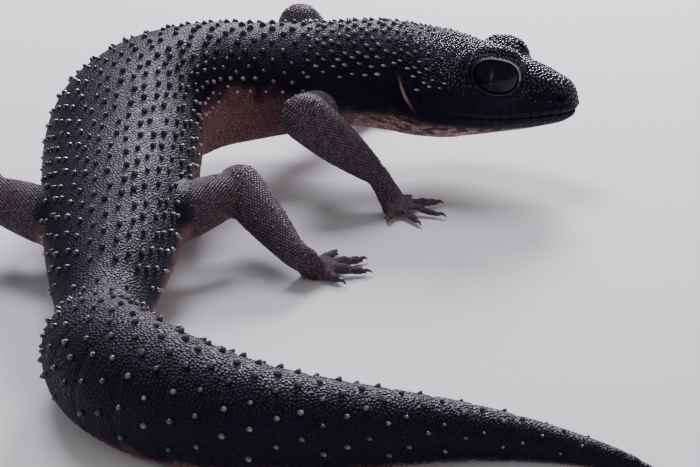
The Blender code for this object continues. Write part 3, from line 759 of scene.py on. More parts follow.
def nostril_gap(own):
    near = np.hypot(own[:, 0] - NOSTRIL_AT.x, own[:, 2] - NOSTRIL_AT.z)
    return np.where(np.abs(own[:, 1]) > 1.5 * MM, near, 9 * MM)


def mouth_gap(own):
    """Height above the line of the mouth, and how open that line is."""
    opened = eased((own[:, 0] - MOUTH_CORNER) / (1.5 * MM))
    return own[:, 2] - along(MOUTH, own[:, 0])[0], opened


def foot_gap(points):
    """Distance from the middle of the nearest palm."""
    return np.min([np.linalg.norm(points - np.array(joints[-1]), axis=1) for joints in LEG_LINES], 0)


print("mouth:", round(float(np.ptp(MOUTH[:, 0]) - MOUTH_CORNER) / MM, 1), "mm from corner to tip")


# %% Cut chosen faces in four
def face_centres(mesh):
    return values_of(mesh.polygons, "center").astype(float)


def cut_in_four(mesh, chosen):
    """Cuts the chosen faces of a mesh in four, and evens what is new."""
    bm = bmesh.new()
    bm.from_mesh(mesh)
    bm.faces.ensure_lookup_table()
    edges = {edge for k in np.nonzero(chosen)[0] for edge in bm.faces[k].edges}
    bmesh.ops.subdivide_edges(bm, edges=list(edges), cuts=1, use_grid_fill=True)
    bm.to_mesh(mesh)
    bm.free()
    evened(mesh, 3)


centres = face_centres(skin_mesh)
in_foot = (foot_gap(centres) < PALM_REACH) & (centres[:, 2] < 2.6 * MM)
cut_in_four(skin_mesh, near_head(moved(centres, TO_HEAD), 1.0 * MM) | in_foot)

own = moved(face_centres(skin_mesh), TO_HEAD)
gap, _ = eye_gap(own)
level, opened = mouth_gap(own)
slant, share = ear_gap(own)
fine = (gap > 0.85) & (gap < 1.5)
fine |= (np.abs(level) < 0.9 * MM) & (opened > 0.1)
fine |= (np.abs(slant) < 1.5 * MM) & (np.abs(share - 0.5) < 0.7) & (np.abs(own[:, 1]) > 5 * MM)
fine |= nostril_gap(own) < 1.2 * MM
cut_in_four(skin_mesh, fine & near_head(own))
print("finer skin:", len(skin_mesh.polygons), "faces")

# %% [markdown]
# ## Sculpting in numbers
# The fine shapes are moves of the skin's points along their normals, as a sculptor's brush makes
# them: hollows for the sockets, ears and nostrils, the line of the mouth between swollen lips,
# the ridge from eye to nostril, creases in the throat, folds on the inside of the bend, and the
# rings of the tail. Each is a smooth hill or hollow placed by the point's address.

# %% The head's fine shapes
MOUTH_DEPTH, LIP_SWELL = 0.42 * MM, 0.14 * MM
SOCKET_FLOOR = EYE_RADIUS - 0.7 * MM
LID_RADIUS = EYE_RADIUS + 0.36 * MM  # of the ball on which the edges of the lids lie

places, normals = vertex_places(skin_mesh), vertex_normals(skin_mesh)
distance, turn, _ = address(places)
own = moved(places, TO_HEAD)
x, sides = own[:, 0], np.abs(own[:, 1])
gap, rise = eye_gap(own)
level, opened = mouth_gap(own)
slant, share = ear_gap(own)
nostril = nostril_gap(own)
degrees = np.degrees(np.abs(turn))

move = opened * LIP_SWELL * hill(np.abs(level) - 0.6 * MM, 0.35 * MM)
move -= opened * MOUTH_DEPTH * hill(level, 0.16 * MM)
move -= 0.55 * MM * hill(nostril, 0.40 * MM)
move += 0.12 * MM * hill(nostril - 0.72 * MM, 0.20 * MM)
on_ear = hill(share - 0.5, 0.48) ** 2 * (sides > EAR_ASIDE)
bow = EAR_BOW * hill(share - 0.5, 0.5)  # the fold is a little curved
move -= 0.80 * MM * hill(slant + bow - 0.24 * MM, 0.26 * MM) * on_ear
move += 0.36 * MM * hill(slant + bow + 0.30 * MM, 0.22 * MM) * on_ear
move += 0.14 * MM * hill(slant + bow - 0.95 * MM, 0.35 * MM) * on_ear
open_face = eased((gap - 1.5) / 0.3)
snout = eased((x - 15 * MM) / (2 * MM)) * eased((23.4 * MM - x) / (1.5 * MM)) * open_face
move += 0.20 * MM * hill(degrees - 44, 9) * snout
move -= 0.26 * MM * hill(degrees - 68, 12) * snout
move -= 0.22 * MM * hill(degrees, 16) * snout
move -= 0.35 * MM * hill(degrees, 14) * hill(x - 13.5 * MM, 3 * MM) * open_face
move += 0.30 * MM * hill(x - 5.5 * MM, 2.2 * MM) * hill(degrees - 92, 22) * open_face
over_lid = eased(rise / (0.8 * MM) + 0.4)
move -= 0.30 * MM * hill(gap - 1.36, 0.11) * over_lid * eased((1.9 - gap) / 0.2)
move += 0.22 * MM * hill(gap - 1.64, 0.15) * over_lid * (gap < 2.2)
move += 0.34 * MM * hill(x - 23.7 * MM, 1.1 * MM) * hill(degrees - 15, 45)
move *= distance < 0
places = places + normals * move[:, None]
print("shaped:", round(float(np.abs(move).max()) / MM, 2), "mm at most")

# %% Sockets for the eyes
own = moved(places, TO_HEAD)
for side in SIDES:
    centre, look, _, _ = (np.array(v) for v in eye_axes(side))
    ray = own - centre
    front = ray @ look
    beside = (ray**2).sum(-1) - front**2
    on_side = own[:, 1] * side > 0
    lid_front = np.sqrt(np.maximum(LID_RADIUS**2 - beside, 0.0))
    leaned = np.where(on_side, eased((1.34 - gap) / 0.34), 0.0)
    front_new = front + leaned * np.minimum(lid_front - front, 0.0)
    floor_front = np.sqrt(np.maximum(SOCKET_FLOOR**2 - beside, 0.0)) - 0.2 * MM
    pressed = np.where(on_side, eased((1.03 - gap) / 0.10), 0.0)
    front_new += pressed * (floor_front - front_new)
    own = own + look * (front_new - front)[:, None]
places = moved(own, TO_WORLD)
put_places(skin_mesh, places)
print("head sculpted")

# %% Creases, folds and rings
WHORL = 4.2 * MM  # length of one ring of the tail


def crease_noise(pitch_along, pitch_across, distance, turn, radius, seed):
    """Smooth noise from -1 to 1 that is stretched along or across the body."""
    round_body = turn * radius
    return np.array([noise.noise(Vector((d / pitch_along, r / pitch_across, seed)))
                     for d, r in zip(distance, round_body)])


normals = vertex_normals(skin_mesh)
distance, turn, out = address(places)
degrees = np.degrees(np.abs(turn))
body_share = eased((1.15 - out) / 0.1)
throat = eased((degrees - 112) / 18) * eased((distance + 13 * MM) / (4 * MM))
throat *= eased((16 * MM - distance) / (6 * MM))
inner = eased((degrees - 50) / 30) * (turn < 0) * eased((distance - 24 * MM) / (6 * MM))
inner *= eased((66 * MM - distance) / (8 * MM))
long_creases = 1 - np.abs(crease_noise(5 * MM, 1.5 * MM, distance, turn, 7.5 * MM, 3.0)) * 2.2
cross_folds = 1 - np.abs(crease_noise(1.9 * MM, 9 * MM, distance, turn, 9 * MM, 7.0)) * 2.2
soft = crease_noise(6 * MM, 6 * MM, distance, turn, 9 * MM, 11.0)
move = -0.26 * MM * np.clip(long_creases, 0, 1) ** 2 * throat
move -= 0.20 * MM * np.clip(cross_folds, 0, 1) ** 2 * inner * body_share
move += 0.07 * MM * soft * body_share
phase = np.abs((distance / WHORL) % 1.0 - 0.5)
on_tail = eased((distance - 92 * MM) / (4 * MM)) * eased((160 * MM - distance) / (8 * MM))
move -= 0.16 * MM * hill(phase, 0.075) * on_tail * body_share
places = places + normals * move[:, None]
places[:, 2] = np.maximum(places[:, 2], 0.0)
put_places(skin_mesh, places)
print("creased:", round(float(np.abs(move).max()) / MM, 2), "mm at most")

# %% [markdown]
# ## Markings
# A black gecko isn't one black. Its back is blue-black, its lower flanks and belly are a dull
# mauve-brown, its limbs are greyer, the throat is pale and pinkish, and the fold of the ear is
# flushed. The edge between back and flank follows a table of angles along the body. The same
# function marks the skin and everything that grows from it, so the colours always agree.

# %% Where each colour lies
FLANK_EDGE = (  # distance behind the nape, degrees from the middle of the back
    (-25 * MM, 168), (-12 * MM, 152), (0 * MM, 140), (8 * MM, 118), (16 * MM, 93), (26 * MM, 81),
    (55 * MM, 81), (78 * MM, 92), (92 * MM, 112), (105 * MM, 128), (168 * MM, 140),
)
FLANK_WANDER, FLANK_BLUR = 13, 13  # degrees that the edge strays, and fades over to either side
THROAT_EDGE = (
    (-25 * MM, 158), (-20 * MM, 146), (-14 * MM, 126), (-8 * MM, 114), (0 * MM, 110), (12 * MM, 124),
)


def markings(points):
    """The share of each marking at each point, as arrays by name."""
    distance, turn, out = address(points)
    degrees = np.degrees(np.abs(turn))
    _, _, off, _ = leg_place(points)
    limb = eased((out - 1.04) / 0.22) * (off < 6 * MM)
    limb = np.maximum(limb, (foot_gap(points) < PALM_REACH) * (points[:, 2] < 4.5 * MM))
    own = moved(points, TO_HEAD)
    slant, share = ear_gap(own)
    level, opened = mouth_gap(own)
    at_ear = hill(share - 0.5, 0.5) ** 2 * (np.abs(own[:, 1]) > EAR_ASIDE) * (distance < 1 * MM)
    rim = slant + EAR_BOW * hill(share - 0.5, 0.5)
    below = degrees - along(FLANK_EDGE, distance)[0]
    edge = np.nonzero(np.abs(below) < 34)[0]
    below[edge] += FLANK_WANDER * crease_noise(2.4 * MM, 1.7 * MM, distance[edge], turn[edge], 8 * MM, 31.0)
    flank = eased((below + FLANK_BLUR) / (2 * FLANK_BLUR)) * (1 - limb)
    throat = eased((degrees - along(THROAT_EDGE, distance)[0]) / 20)
    throat *= eased((11 * MM - distance) / (9 * MM)) * eased((distance + 23.5 * MM) / (3 * MM))
    blotched = np.nonzero((throat > 0.01) & (distance > -16 * MM))[0]
    patches = crease_noise(1.5 * MM, 0.9 * MM, distance[blotched], turn[blotched], 7.5 * MM, 21.0)
    throat[blotched] *= 0.14 + 0.86 * eased(0.60 + 2.2 * patches)
    return {
        "flank": flank,
        "throat": throat * (1 - limb),
        "ear": at_ear * (0.95 * hill(rim + 0.26 * MM, 0.12 * MM) + 0.06 * hill(rim - 0.3 * MM, 0.4 * MM)),
        "limb": limb,
        "lip": opened * hill(level, 0.22 * MM) * (distance < 0),
        "gloss": eased((-2 * MM - distance) / (6 * MM)) * eased((96 - degrees) / 40) * (1 - limb),
    }


def put_marks(mesh, marks, repeat=1):
    """Keeps each array of marks on the points of a mesh, each value repeat times."""
    for name, values in marks.items():
        kept = mesh.attributes.new(name, "FLOAT", "POINT")
        kept.data.foreach_set("value", np.repeat(values, repeat).astype(np.float32))


# painted shade: the bare skin is marked 1 here, so it is darker wherever it shows between scales
put_marks(skin_mesh, {**markings(places), "crevice": np.ones(len(places))})
print("marks:", [mark.name for mark in skin_mesh.attributes if mark.data_type == "FLOAT"])

# %% [markdown]
# ## The finish of skin and scales
# One node group turns the markings into colour and roughness, and the skin, the scales and the
# tubercles all use it. Slow noise keeps any area from being one flat tone. Bare skin that shows
# between the scales is darkened as painted shade, and tips are paler, partly their own colour and
# partly painted glints.

# %% Colours of the hide
BACK_TONE = (0.0060, 0.0048, 0.0125, 1)
FLANK_TONE = (0.185, 0.092, 0.098, 1)
LIMB_TONE = (0.062, 0.036, 0.048, 1)
THROAT_TONE = (0.42, 0.26, 0.24, 1)
EAR_TONE = (0.80, 0.44, 0.46, 1)
LIP_TONE = (0.012, 0.007, 0.008, 1)
# pale tips: their own colour on the lowest rows of the flanks, painted glints and highlights elsewhere
TIP_TONE = (0.50, 0.46, 0.49, 1)


def mix(tree, share, first, second, kind="MIX"):
    """The colour output of a mix of two colours."""
    node = add(tree, "ShaderNodeMix", {0: share, 6: first, 7: second}, data_type="RGBA", blend_type=kind)
    return node.outputs[2]


def sums(tree, operation, *values):
    """The output of one Math node."""
    return add(tree, "ShaderNodeMath", dict(enumerate(values)), operation=operation).outputs[0]


print("colour of the back:", BACK_TONE[:3])

# %% The shared group of nodes
MARK_NAMES = ("Flank", "Throat", "Ear", "Limb", "Lip", "Gloss", "Tip", "Tone", "Crevice")
hide_group = bpy.data.node_groups.new("hide_marks", "ShaderNodeTree")
for label in MARK_NAMES:
    hide_group.interface.new_socket(label, in_out="INPUT", socket_type="NodeSocketFloat")
hide_group.interface.new_socket("Color", in_out="OUTPUT", socket_type="NodeSocketColor")
hide_group.interface.new_socket("Roughness", in_out="OUTPUT", socket_type="NodeSocketFloat")
given = add(hide_group, "NodeGroupInput").outputs
where = add(hide_group, "ShaderNodeTexCoord").outputs["Object"]
slow, quick = (add(hide_group, "ShaderNodeTexNoise", {"Vector": where, "Scale": scale, "Detail": detail})
               .outputs["Fac"] for scale, detail in ((160.0, 3.0), (900.0, 2.0)))


def tinted(colour, tones):
    """A colour after each named marking has mixed in its own tone."""
    for label, tone in tones.items():
        colour = mix(hide_group, given[label], colour, tone)
    return colour


def total(start, *shares):
    """A start value and a share of each of some sockets, added up."""
    for source, share in shares:
        start = sums(hide_group, "MULTIPLY_ADD", source, share, start)
    return start


colour = tinted(BACK_TONE, {"Flank": FLANK_TONE, "Limb": LIMB_TONE, "Throat": THROAT_TONE, "Ear": EAR_TONE})
light = total(0.45, (slow, 0.7), (quick, 0.5), (given["Tone"], 0.5))
# painted shade: bare skin between the scales is darkened to 0.55, for the shade in the gaps
light = sums(hide_group, "MULTIPLY", light, total(1.0, (given["Crevice"], -0.45)))
grey = add(hide_group, "ShaderNodeCombineColor", {0: light, 1: light, 2: light}).outputs[0]
colour = mix(hide_group, 1.0, colour, grey, "MULTIPLY")
# paler tips, partly their own colour and partly painted glints
colour = tinted(colour, {"Lip": LIP_TONE, "Tip": TIP_TONE})
rough = total(0.47, (given["Flank"], 0.08), (slow, 0.10), (given["Lip"], -0.30),
              (given["Gloss"], -0.17), (given["Tip"], -0.15))
given_back = add(hide_group, "NodeGroupOutput")
hide_group.links.new(colour, given_back.inputs["Color"])
hide_group.links.new(rough, given_back.inputs["Roughness"])
print("shared group:", len(hide_group.nodes), "nodes")


# %% The hide finish
def hide_finish(name, cells, depth, specular, smoother=0.0):
    """A finish from the shared group, with fine cells pressed in where no scale covers it."""
    made, tree, surface = finish_named(name)
    marks = {label: add(tree, "ShaderNodeAttribute", attribute_name=label.lower()).outputs["Fac"]
             for label in MARK_NAMES}
    group = add(tree, "ShaderNodeGroup", node_tree=hide_group)
    for label, mark in marks.items():
        tree.links.new(mark, group.inputs[label])
    tree.links.new(group.outputs["Color"], surface.inputs["Base Color"])
    rough = sums(tree, "SUBTRACT", group.outputs["Roughness"], smoother)
    tree.links.new(rough, surface.inputs["Roughness"])
    where = add(tree, "ShaderNodeTexCoord").outputs["Object"]
    grain = add(tree, "ShaderNodeTexVoronoi", {"Vector": where, "Scale": 1 / cells}).outputs["Distance"]
    bump = add(tree, "ShaderNodeBump", {"Height": sums(tree, "MULTIPLY", grain, -1.0), "Distance": depth})
    tree.links.new(bump.outputs["Normal"], surface.inputs["Normal"])
    surface.inputs["Specular IOR Level"].default_value = specular
    surface.inputs["Specular Tint"].default_value = (0.82, 0.80, 1.0, 1)
    return made


skin_finish = hide_finish("black_skin", 0.34 * MM, 0.10 * MM, 0.20)
scale_finish = hide_finish("black_scale", 0.13 * MM, 0.02 * MM, 0.21)
top_finish = hide_finish("black_head_scale", 0.13 * MM, 0.01 * MM, 0.65, smoother=0.18)
face_finish = hide_finish("black_face_scale", 0.13 * MM, 0.02 * MM, 0.14)
tubercle_finish = hide_finish("black_tubercle", 0.20 * MM, 0.01 * MM, 0.50, smoother=0.26)
nape_finish = hide_finish("black_nape_tubercle", 0.20 * MM, 0.01 * MM, 0.85, smoother=0.24)
skin_mesh.materials.clear()
skin_mesh.materials.append(skin_finish)
skin_mesh.shade_smooth()
skin = bpy.data.objects.new("hide", skin_mesh)
SCENE.collection.objects.link(skin)
FLESH_NODES = [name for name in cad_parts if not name.startswith("eye_")]


def finished(piece, slot, *nodes):
    """Rides a piece on the body, hides the nodes that it replaces and prints its triangles. The slot is not
    used.
    """
    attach(piece, "root")
    if nodes:
        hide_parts(*nodes)
    faces = sum(len(p.vertices) - 2 for p in piece.data.polygons)
    print(f"{piece.name}: {faces} triangles")
    return piece


finished(skin, "skin", *FLESH_NODES)

# %% [markdown]
# ## One small shape, many times
# Tens of thousands of scales would be far too slow to model one by one, and instances wouldn't
# survive an export. So one small closed shape is made with operators, and arrays copy its points
# to every root at once, turned to the skin there. Each copy also gets a small patch of a UV map
# at its root's place on an unwrapped skin, so that its colours can be baked.

# %% Copies of a small shape
PATCH = 0.0015  # half the width of one copy's patch of the map
MAP_LENGTH = 118 * MM  # length of skin that the map is wide
MAP_START, MAP_WIDTH = 0.01, 0.97
TRUNK_BAND, TAIL_BAND = (0.20, 0.38), (0.53, 0.24)  # middle and height of a band across the map
LEG_BAND, LEG_STEP, LEG_TWIST = 0.69, 0.07, 0.008  # first leg's middle, next leg's, and height


def unwrapped(points):
    """Places of points on a flat map: head and trunk, tail, then each leg on a strip of its own."""
    distance, turn, _ = address(points)
    which, travelled, off, _ = leg_place(points)
    limb = markings(points)["limb"] > 0.5
    on_tail = distance > TAIL_START
    u = np.where(on_tail, distance - TAIL_START, distance + HEAD_LENGTH) / MAP_LENGTH
    middle, height = np.where(on_tail, np.array(TAIL_BAND)[:, None], np.array(TRUNK_BAND)[:, None])
    v = middle + turn / (2 * math.pi) * height
    start = np.array([joints[0] for joints in LEG_LINES])[which]
    round_leg = np.arctan2(points[:, 2] - start[:, 2] + 5 * MM, (points - start)[:, 0] + off)
    u = np.where(limb, travelled / MAP_LENGTH, u)
    v = np.where(limb, LEG_BAND + LEG_STEP * which + LEG_TWIST * round_leg, v)
    return np.stack((MAP_START + MAP_WIDTH * u, v), -1)


print("a copy's patch is", 2 * PATCH, "of the map wide")


# %% Copying it to every root
TINY = 1e-12  # keeps a length from being zero


def crossed(first, second):
    """Unit vectors at right angles to both."""
    made = np.cross(first, second)
    return made / np.maximum(np.linalg.norm(made, axis=1), TINY)[:, None]


def strewn(name, shape, roots, ups, leads, sizes, lean, tips, finish, tones):
    """One mesh of many copies of a small shape: x along leads, z along ups, leaning along x."""
    lean, tips = (np.broadcast_to(share, len(roots)) for share in (lean, tips))
    bmesh.ops.triangulate(shape, faces=shape.faces)
    local = np.array([v.co for v in shape.verts])
    corners = np.array([[v.index for v in f.verts] for f in shape.faces])
    shape.free()
    across = crossed(ups, leads)
    ahead = crossed(across, ups)
    grown = local[None] * sizes[:, None, :]
    grown[..., 0] += lean[:, None] * np.maximum(grown[..., 2], 0)
    spots = (roots[:, None] + grown[..., :1] * ahead[:, None] + grown[..., 1:2] * across[:, None]
             + grown[..., 2:] * ups[:, None])
    spots[..., 2] = np.maximum(spots[..., 2], 0.0)
    mesh = bpy.data.meshes.new(name)
    mesh.vertices.add(spots.shape[0] * spots.shape[1])
    mesh.vertices.foreach_set("co", spots.astype(np.float32).ravel())
    loops = (corners[None] + len(local) * np.arange(len(roots))[:, None, None]).ravel()
    mesh.loops.add(len(loops))
    mesh.loops.foreach_set("vertex_index", loops.astype(np.int32))
    mesh.polygons.add(len(loops) // 3)
    mesh.polygons.foreach_set("loop_start", np.arange(0, len(loops), 3, dtype=np.int32))
    mesh.update(calc_edges=True)
    put_marks(mesh, {**markings(roots), "tone": tones}, len(local))
    # each copy is paler towards its top: partly its own pale tip, partly a painted highlight
    tip_share = np.clip(local[:, 2], 0, 1)[None] ** 2 * tips[:, None]
    put_marks(mesh, {"tip": tip_share.ravel()})
    flat = local[:, :2] / np.abs(local[:, :2]).max() * PATCH
    spots_on_map = unwrapped(roots)[:, None] + flat[None]
    layer = mesh.uv_layers.new(name="OFBake")
    layer.uv.foreach_set("vector", spots_on_map.reshape(-1, 2)[loops].astype(np.float32).ravel())
    mesh.materials.append(finish)
    mesh.shade_smooth()
    made = bpy.data.objects.new(name, mesh)
    SCENE.collection.objects.link(made)
    return finished(made, "skin")


# %% Rings of a small shape, and a place on the skin
skin_tree = BVHTree.FromObject(skin, bpy.context.evaluated_depsgraph_get())
LIFTED = 0.6 * MM  # a root further than this from the skin is inside the flesh, and left out


def turned_shape(profile, sides):
    """A small closed shape of rings, each with a radius and a height."""
    turns = [2 * math.pi * k / sides for k in range(sides)]
    bm = loft([[Vector((radius * math.cos(t), radius * math.sin(t), height)) for t in turns]
               for radius, height in profile])
    bm.verts.index_update()
    return bm


def seated(points):
    """The nearest places on the skin, the way out of it there, and which points have one."""
    found = [skin_tree.find_nearest(Vector(p)) for p in points]
    spots = np.array([f[0] for f in found])
    ways = np.array([f[1] for f in found])
    return spots, ways, np.array([f[3] for f in found]) < LIFTED


def backwards(points):
    """The way from head to tail at each point, in plan."""
    distance = np.maximum(address(points)[0], 0.0)
    heading = heading_at(distance)
    return np.stack((np.cos(heading), np.sin(heading), 0 * heading), -1)


print("skin to stand on:", len(skin_mesh.polygons), "faces")


# %% [markdown]
# ## Tubercles
# The pointed knobs stand in staggered rows across the back and flanks. They are largest on the
# trunk, stand in rings on the tail, and are small, crowded and bent back on the neck and the back
# of the head. Those of the lowest rows on the flanks have whitish tips, and the tips of all are
# paled a little more as painted glints. Each is a short stack of rings that narrows to a blunt tip.

# %% Rows round the body and the limbs
draw = np.random.default_rng(4)
ROW_SHARE = 0.87  # of the space in a row that the next row lies behind it


def girth(table, d):
    half_width, half_height = along(table, d)[:2]
    return math.pi * float(half_width[0] + half_height[0])


def staggered(row, count):
    """Turns of the places in one row, from -pi to pi, half a place on in every second row."""
    turns = (np.arange(count) + 0.5 * (row % 2)) * 2 * math.pi / count
    return (turns + math.pi) % (2 * math.pi) - math.pi


def rows(start, end, row, space, reach, body=True):
    """Distances and turns of staggered rows, with as many in each as fit its girth."""
    distances, turns = [], []
    for k, d in enumerate(np.arange(start, end, row)):
        count = max(4, round(girth(BODY if body else HEAD, d) / space))
        for t in staggered(k, count):
            if abs(math.degrees(t)) < reach(d):
                distances.append(d)
                turns.append(t)
    return np.array(distances), np.array(turns)


def limb_paved(points, radii, space):
    """Points in cross rows round a limb or toe."""
    centres, found = np.array(points), []
    steps = np.linalg.norm(np.diff(centres, axis=0), axis=1)
    at = np.concatenate(([0], np.cumsum(steps)))
    for k, d in enumerate(np.arange(0, at[-1], ROW_SHARE * space)):
        centre, beyond = (np.array([np.interp(min(place, at[-1]), at, column) for column in centres.T])
                          for place in (d, d + space))
        radius = float(np.interp(d, at, radii))
        ahead = beyond - centre
        ahead = ahead / np.linalg.norm(ahead) if np.any(ahead) else np.array((1.0, 0, 0))
        side = np.cross((0, 0, 1), ahead)
        side = side / np.linalg.norm(side)
        up = np.cross(ahead, side)
        t = staggered(k, max(5, round(2 * math.pi * radius / space)))[:, None]
        found.append(centre + radius * (np.sin(t) * side + np.cos(t) * up))
    return np.concatenate(found)


print("girth at the chest:", round(girth(BODY, 27 * MM) / MM, 1), "mm")


# %% Roots of the tubercles
TRUNK_ROW, TRUNK_SPACE = 1.5 * MM, 3.0 * MM


def flank_reach(d):
    return float(along(FLANK_EDGE, d)[0][0]) + 3


def head_reach(x):
    return 88 - 3000 * max(0.0, x - 3 * MM)


trunk_d, trunk_t = rows(13 * MM, 87 * MM, TRUNK_ROW, TRUNK_SPACE, flank_reach)
tail_d, tail_t = rows(91 * MM, 161 * MM, WHORL / 2, 3.0 * MM, lambda d: 108)
neck_d, neck_t = rows(0.8 * MM, 12.5 * MM, 1.05 * MM, 2.1 * MM, lambda d: 77 - 200 * d)
head_x, head_t = rows(0.5 * MM, 11.5 * MM, 0.90 * MM, 1.8 * MM, head_reach, body=False)


def jittered(values, amount):
    return values + draw.uniform(-amount, amount, len(values))


groups = [
    body_points(jittered(trunk_d, 0.28 * MM), jittered(trunk_t, 0.045)),
    body_points(jittered(tail_d, 0.12 * MM), jittered(tail_t, 0.05)),
    body_points(jittered(neck_d, 0.22 * MM), jittered(neck_t, 0.04)),
    moved(head_points(jittered(head_x, 0.28 * MM), jittered(head_t, 0.06)), TO_WORLD),
    np.concatenate([limb_paved(points, radii, 2.8 * MM) for points, radii in bones]),
]
TRUNK, TAIL, NECK, CROWN, LIMBS = range(len(groups))
print("places for tubercles:", [len(points) for points in groups])

# %% Those that have room
roots, ups, kinds = [], [], []
for kind, points in enumerate(groups):
    spots, ways, good = seated(points)
    on_limb = markings(spots)["limb"]
    good &= (on_limb > 0.9) & (ways[:, 2] > 0.1) if kind == LIMBS else on_limb < 0.2
    roots.append(spots[good])
    ups.append(ways[good])
    kinds += [kind] * int(good.sum())
roots, ups, kinds = np.concatenate(roots), np.concatenate(ups), np.array(kinds)
own = moved(roots, TO_HEAD)
gap, _ = eye_gap(own)
slant, share = ear_gap(own)
at_ear = (np.abs(slant) < 1.3 * MM) & (np.abs(share - 0.5) < 0.7) & (np.abs(own[:, 1]) > EAR_ASIDE)
clear = (gap > 2.0) & ~(at_ear & (kinds >= NECK))
roots, ups, kinds = roots[clear], ups[clear], kinds[clear]
print("tubercles:", len(roots))

# %% The tubercles
TUBERCLE = ((1.0, -0.4), (0.84, 0.22), (0.50, 0.72), (0.14, 1.0))  # radius and height of its rings
TUBERCLE_SIDES = 7
SIZES = ((0.47, 0.52), (0.45, 0.54), (0.32, 0.44), (0.27, 0.40), (0.25, 0.24))  # radius, height, in mm
LEANS = (0.25, 0.35, 0.75, 0.85, 0.5)  # backwards, as a share of the height, of each kind

distance, turn, _ = address(roots)
fade = np.where(kinds == TAIL, 0.35 + 0.65 * np.clip(along(BODY, distance)[0] / (6.5 * MM), 0, 1), 1.0)
fade = fade * np.where(kinds == CROWN, 1.0 + 0.035 * distance / MM, 1.0)
swell = draw.uniform(0.86, 1.14, len(roots)) * fade
radius = np.array(SIZES)[kinds, 0] * MM * swell
height = np.array(SIZES)[kinds, 1] * MM * swell
low = np.degrees(np.abs(turn)) - along(FLANK_EDGE, distance)[0]
# the whitish tips of the lowest rows on the flanks are their own colour
pale = np.where(kinds == TRUNK, eased((low + 22) / 14), 0.0) * draw.uniform(0.55, 1.0, len(roots))
# painted glints on the tips of the tail's tubercles
pale = np.where(kinds == TAIL, draw.uniform(0.12, 0.5, len(roots)), pale)
# a painted glint on every tip, so that each knob reads as raised
pale = np.maximum(pale, draw.uniform(0.04, 0.24, len(roots)))
# painted glints on the neck, the back of the head and the limbs, strongest on the side of the head
side_share = hill(np.degrees(np.abs(turn)) - 72, 16) * eased((4 * MM - distance) / (3 * MM))
pale = np.where(kinds >= NECK, draw.uniform(0.25, 0.6, len(roots)) + 0.35 * side_share, pale)
pale = np.where(kinds == LIMBS, 0.25 * pale, pale)
smaller = 1 - 0.28 * eased((low + 16) / 14) * (kinds == TRUNK)
on_neck = (kinds == NECK) | (kinds == CROWN)
longer = np.where(on_neck, 1.45, 1.08)
shape_sizes = np.stack((radius * smaller * longer, radius * smaller * 0.92, height * smaller), -1)
tubercle_roots, tubercle_radii = roots, radius * smaller
for name, chosen, finish in (("tubercles_trunk", kinds == TRUNK, tubercle_finish),
                             ("tubercles_tail", kinds == TAIL, tubercle_finish),
                             ("tubercles_neck", on_neck, nape_finish),
                             ("tubercles_limbs", kinds == LIMBS, tubercle_finish)):
    strewn(name, turned_shape(TUBERCLE, TUBERCLE_SIDES), roots[chosen], ups[chosen],
           backwards(roots[chosen]), shape_sizes[chosen], np.array(LEANS)[kinds[chosen]],
           pale[chosen], finish, draw.uniform(0, 1, int(chosen.sum())))

# %% [markdown]
# ## Small scales
# Between the tubercles the skin is paved with small granular scales. On the trunk and tail they
# lie in slanting rows, on the limbs and toes in cross rows, and anywhere without rows they fill
# in at random. Candidates are taken in that order, and each stays only if no scale is too near,
# which a grid of small boxes finds out quickly. Then a few rounds of gentle pushing even out the
# gaps between them.

# %% Candidates in rows
SCALE_SPACE = 0.42 * MM
BELLY_SPACE = 0.66 * MM
TOE_SPACE = 0.30 * MM
LIMB_SPACE = 0.40 * MM
HEAD_SPACE = 0.42 * MM
SNOUT_EXTRA = 0.14 * MM  # more space on top of the snout and brows
BOX = 0.66 * MM  # side of the small boxes of the grid
AT_RANDOM = 70000  # places tried where there are no rows
BELLY_START, BELLY_TURN = 8 * MM, 125  # the belly's scales: behind the nape, degrees from the back
ROWS_END = 166 * MM


def paved(start, end, space, reaches):
    """Points in slanting rows round the body, between two turns in degrees."""
    found = []
    for k, d in enumerate(np.arange(start, end, ROW_SHARE * space)):
        t = staggered(k, max(8, 8 * round(girth(BODY, d) / space / 8)))
        t = t[(np.degrees(np.abs(t)) >= reaches[0]) & (np.degrees(np.abs(t)) < reaches[1])]
        found.append(body_points(np.full(len(t), d), t))
    return np.concatenate(found)


def scattered(mesh, count, spread, weight):
    """Random places all over a mesh, by area times a weight at each place."""
    mesh.calc_loop_triangles()
    corners = vertex_places(mesh)[values_of(mesh.loop_triangles, "vertices", np.int32)]
    first, second = corners[:, 1] - corners[:, 0], corners[:, 2] - corners[:, 0]
    area = np.linalg.norm(np.cross(first, second), axis=1) * weight(corners.mean(1))
    picks = spread.choice(len(area), count, p=area / area.sum())
    a, b = spread.random((2, count))[..., None]
    over = a + b > 1
    a, b = np.where(over, 1 - a, a), np.where(over, 1 - b, b)
    return corners[picks, 0] + a * first[picks] + b * second[picks]


print("space of a scale:", SCALE_SPACE / MM, "mm on the trunk")


# %% How much space, and how many
def local_space(points):
    """The space that a scale takes at each point."""
    distance, turn, _ = address(points)
    degrees = np.degrees(np.abs(turn))
    marks = markings(points)
    foot = foot_gap(points)
    gap, _ = eye_gap(moved(points, TO_HEAD))
    snout = eased((-distance - 10 * MM) / (3 * MM)) * eased((85 - degrees) / 25)
    space = np.where(distance < 0, HEAD_SPACE + SNOUT_EXTRA * snout, SCALE_SPACE)
    space = np.where((distance < 0) & (gap < 2), space * (0.78 + 0.22 * eased((gap - 1.3) / 0.7)), space)
    space = np.where((degrees > BELLY_TURN) & (distance > BELLY_START), BELLY_SPACE, space)
    space = np.where(marks["limb"] > 0.3, np.where(foot < PALM_REACH, TOE_SPACE, LIMB_SPACE), space)
    slim = eased((distance - 135 * MM) / (25 * MM))
    return space * (1 - 0.35 * slim)


def head_weight(points):
    """The head has no rows, and needs more random places."""
    marks = markings(points)
    return np.where(address(points)[0] < 4 * MM, 9.0, np.where(marks["limb"] > 0.3, 2.0, 1.0))


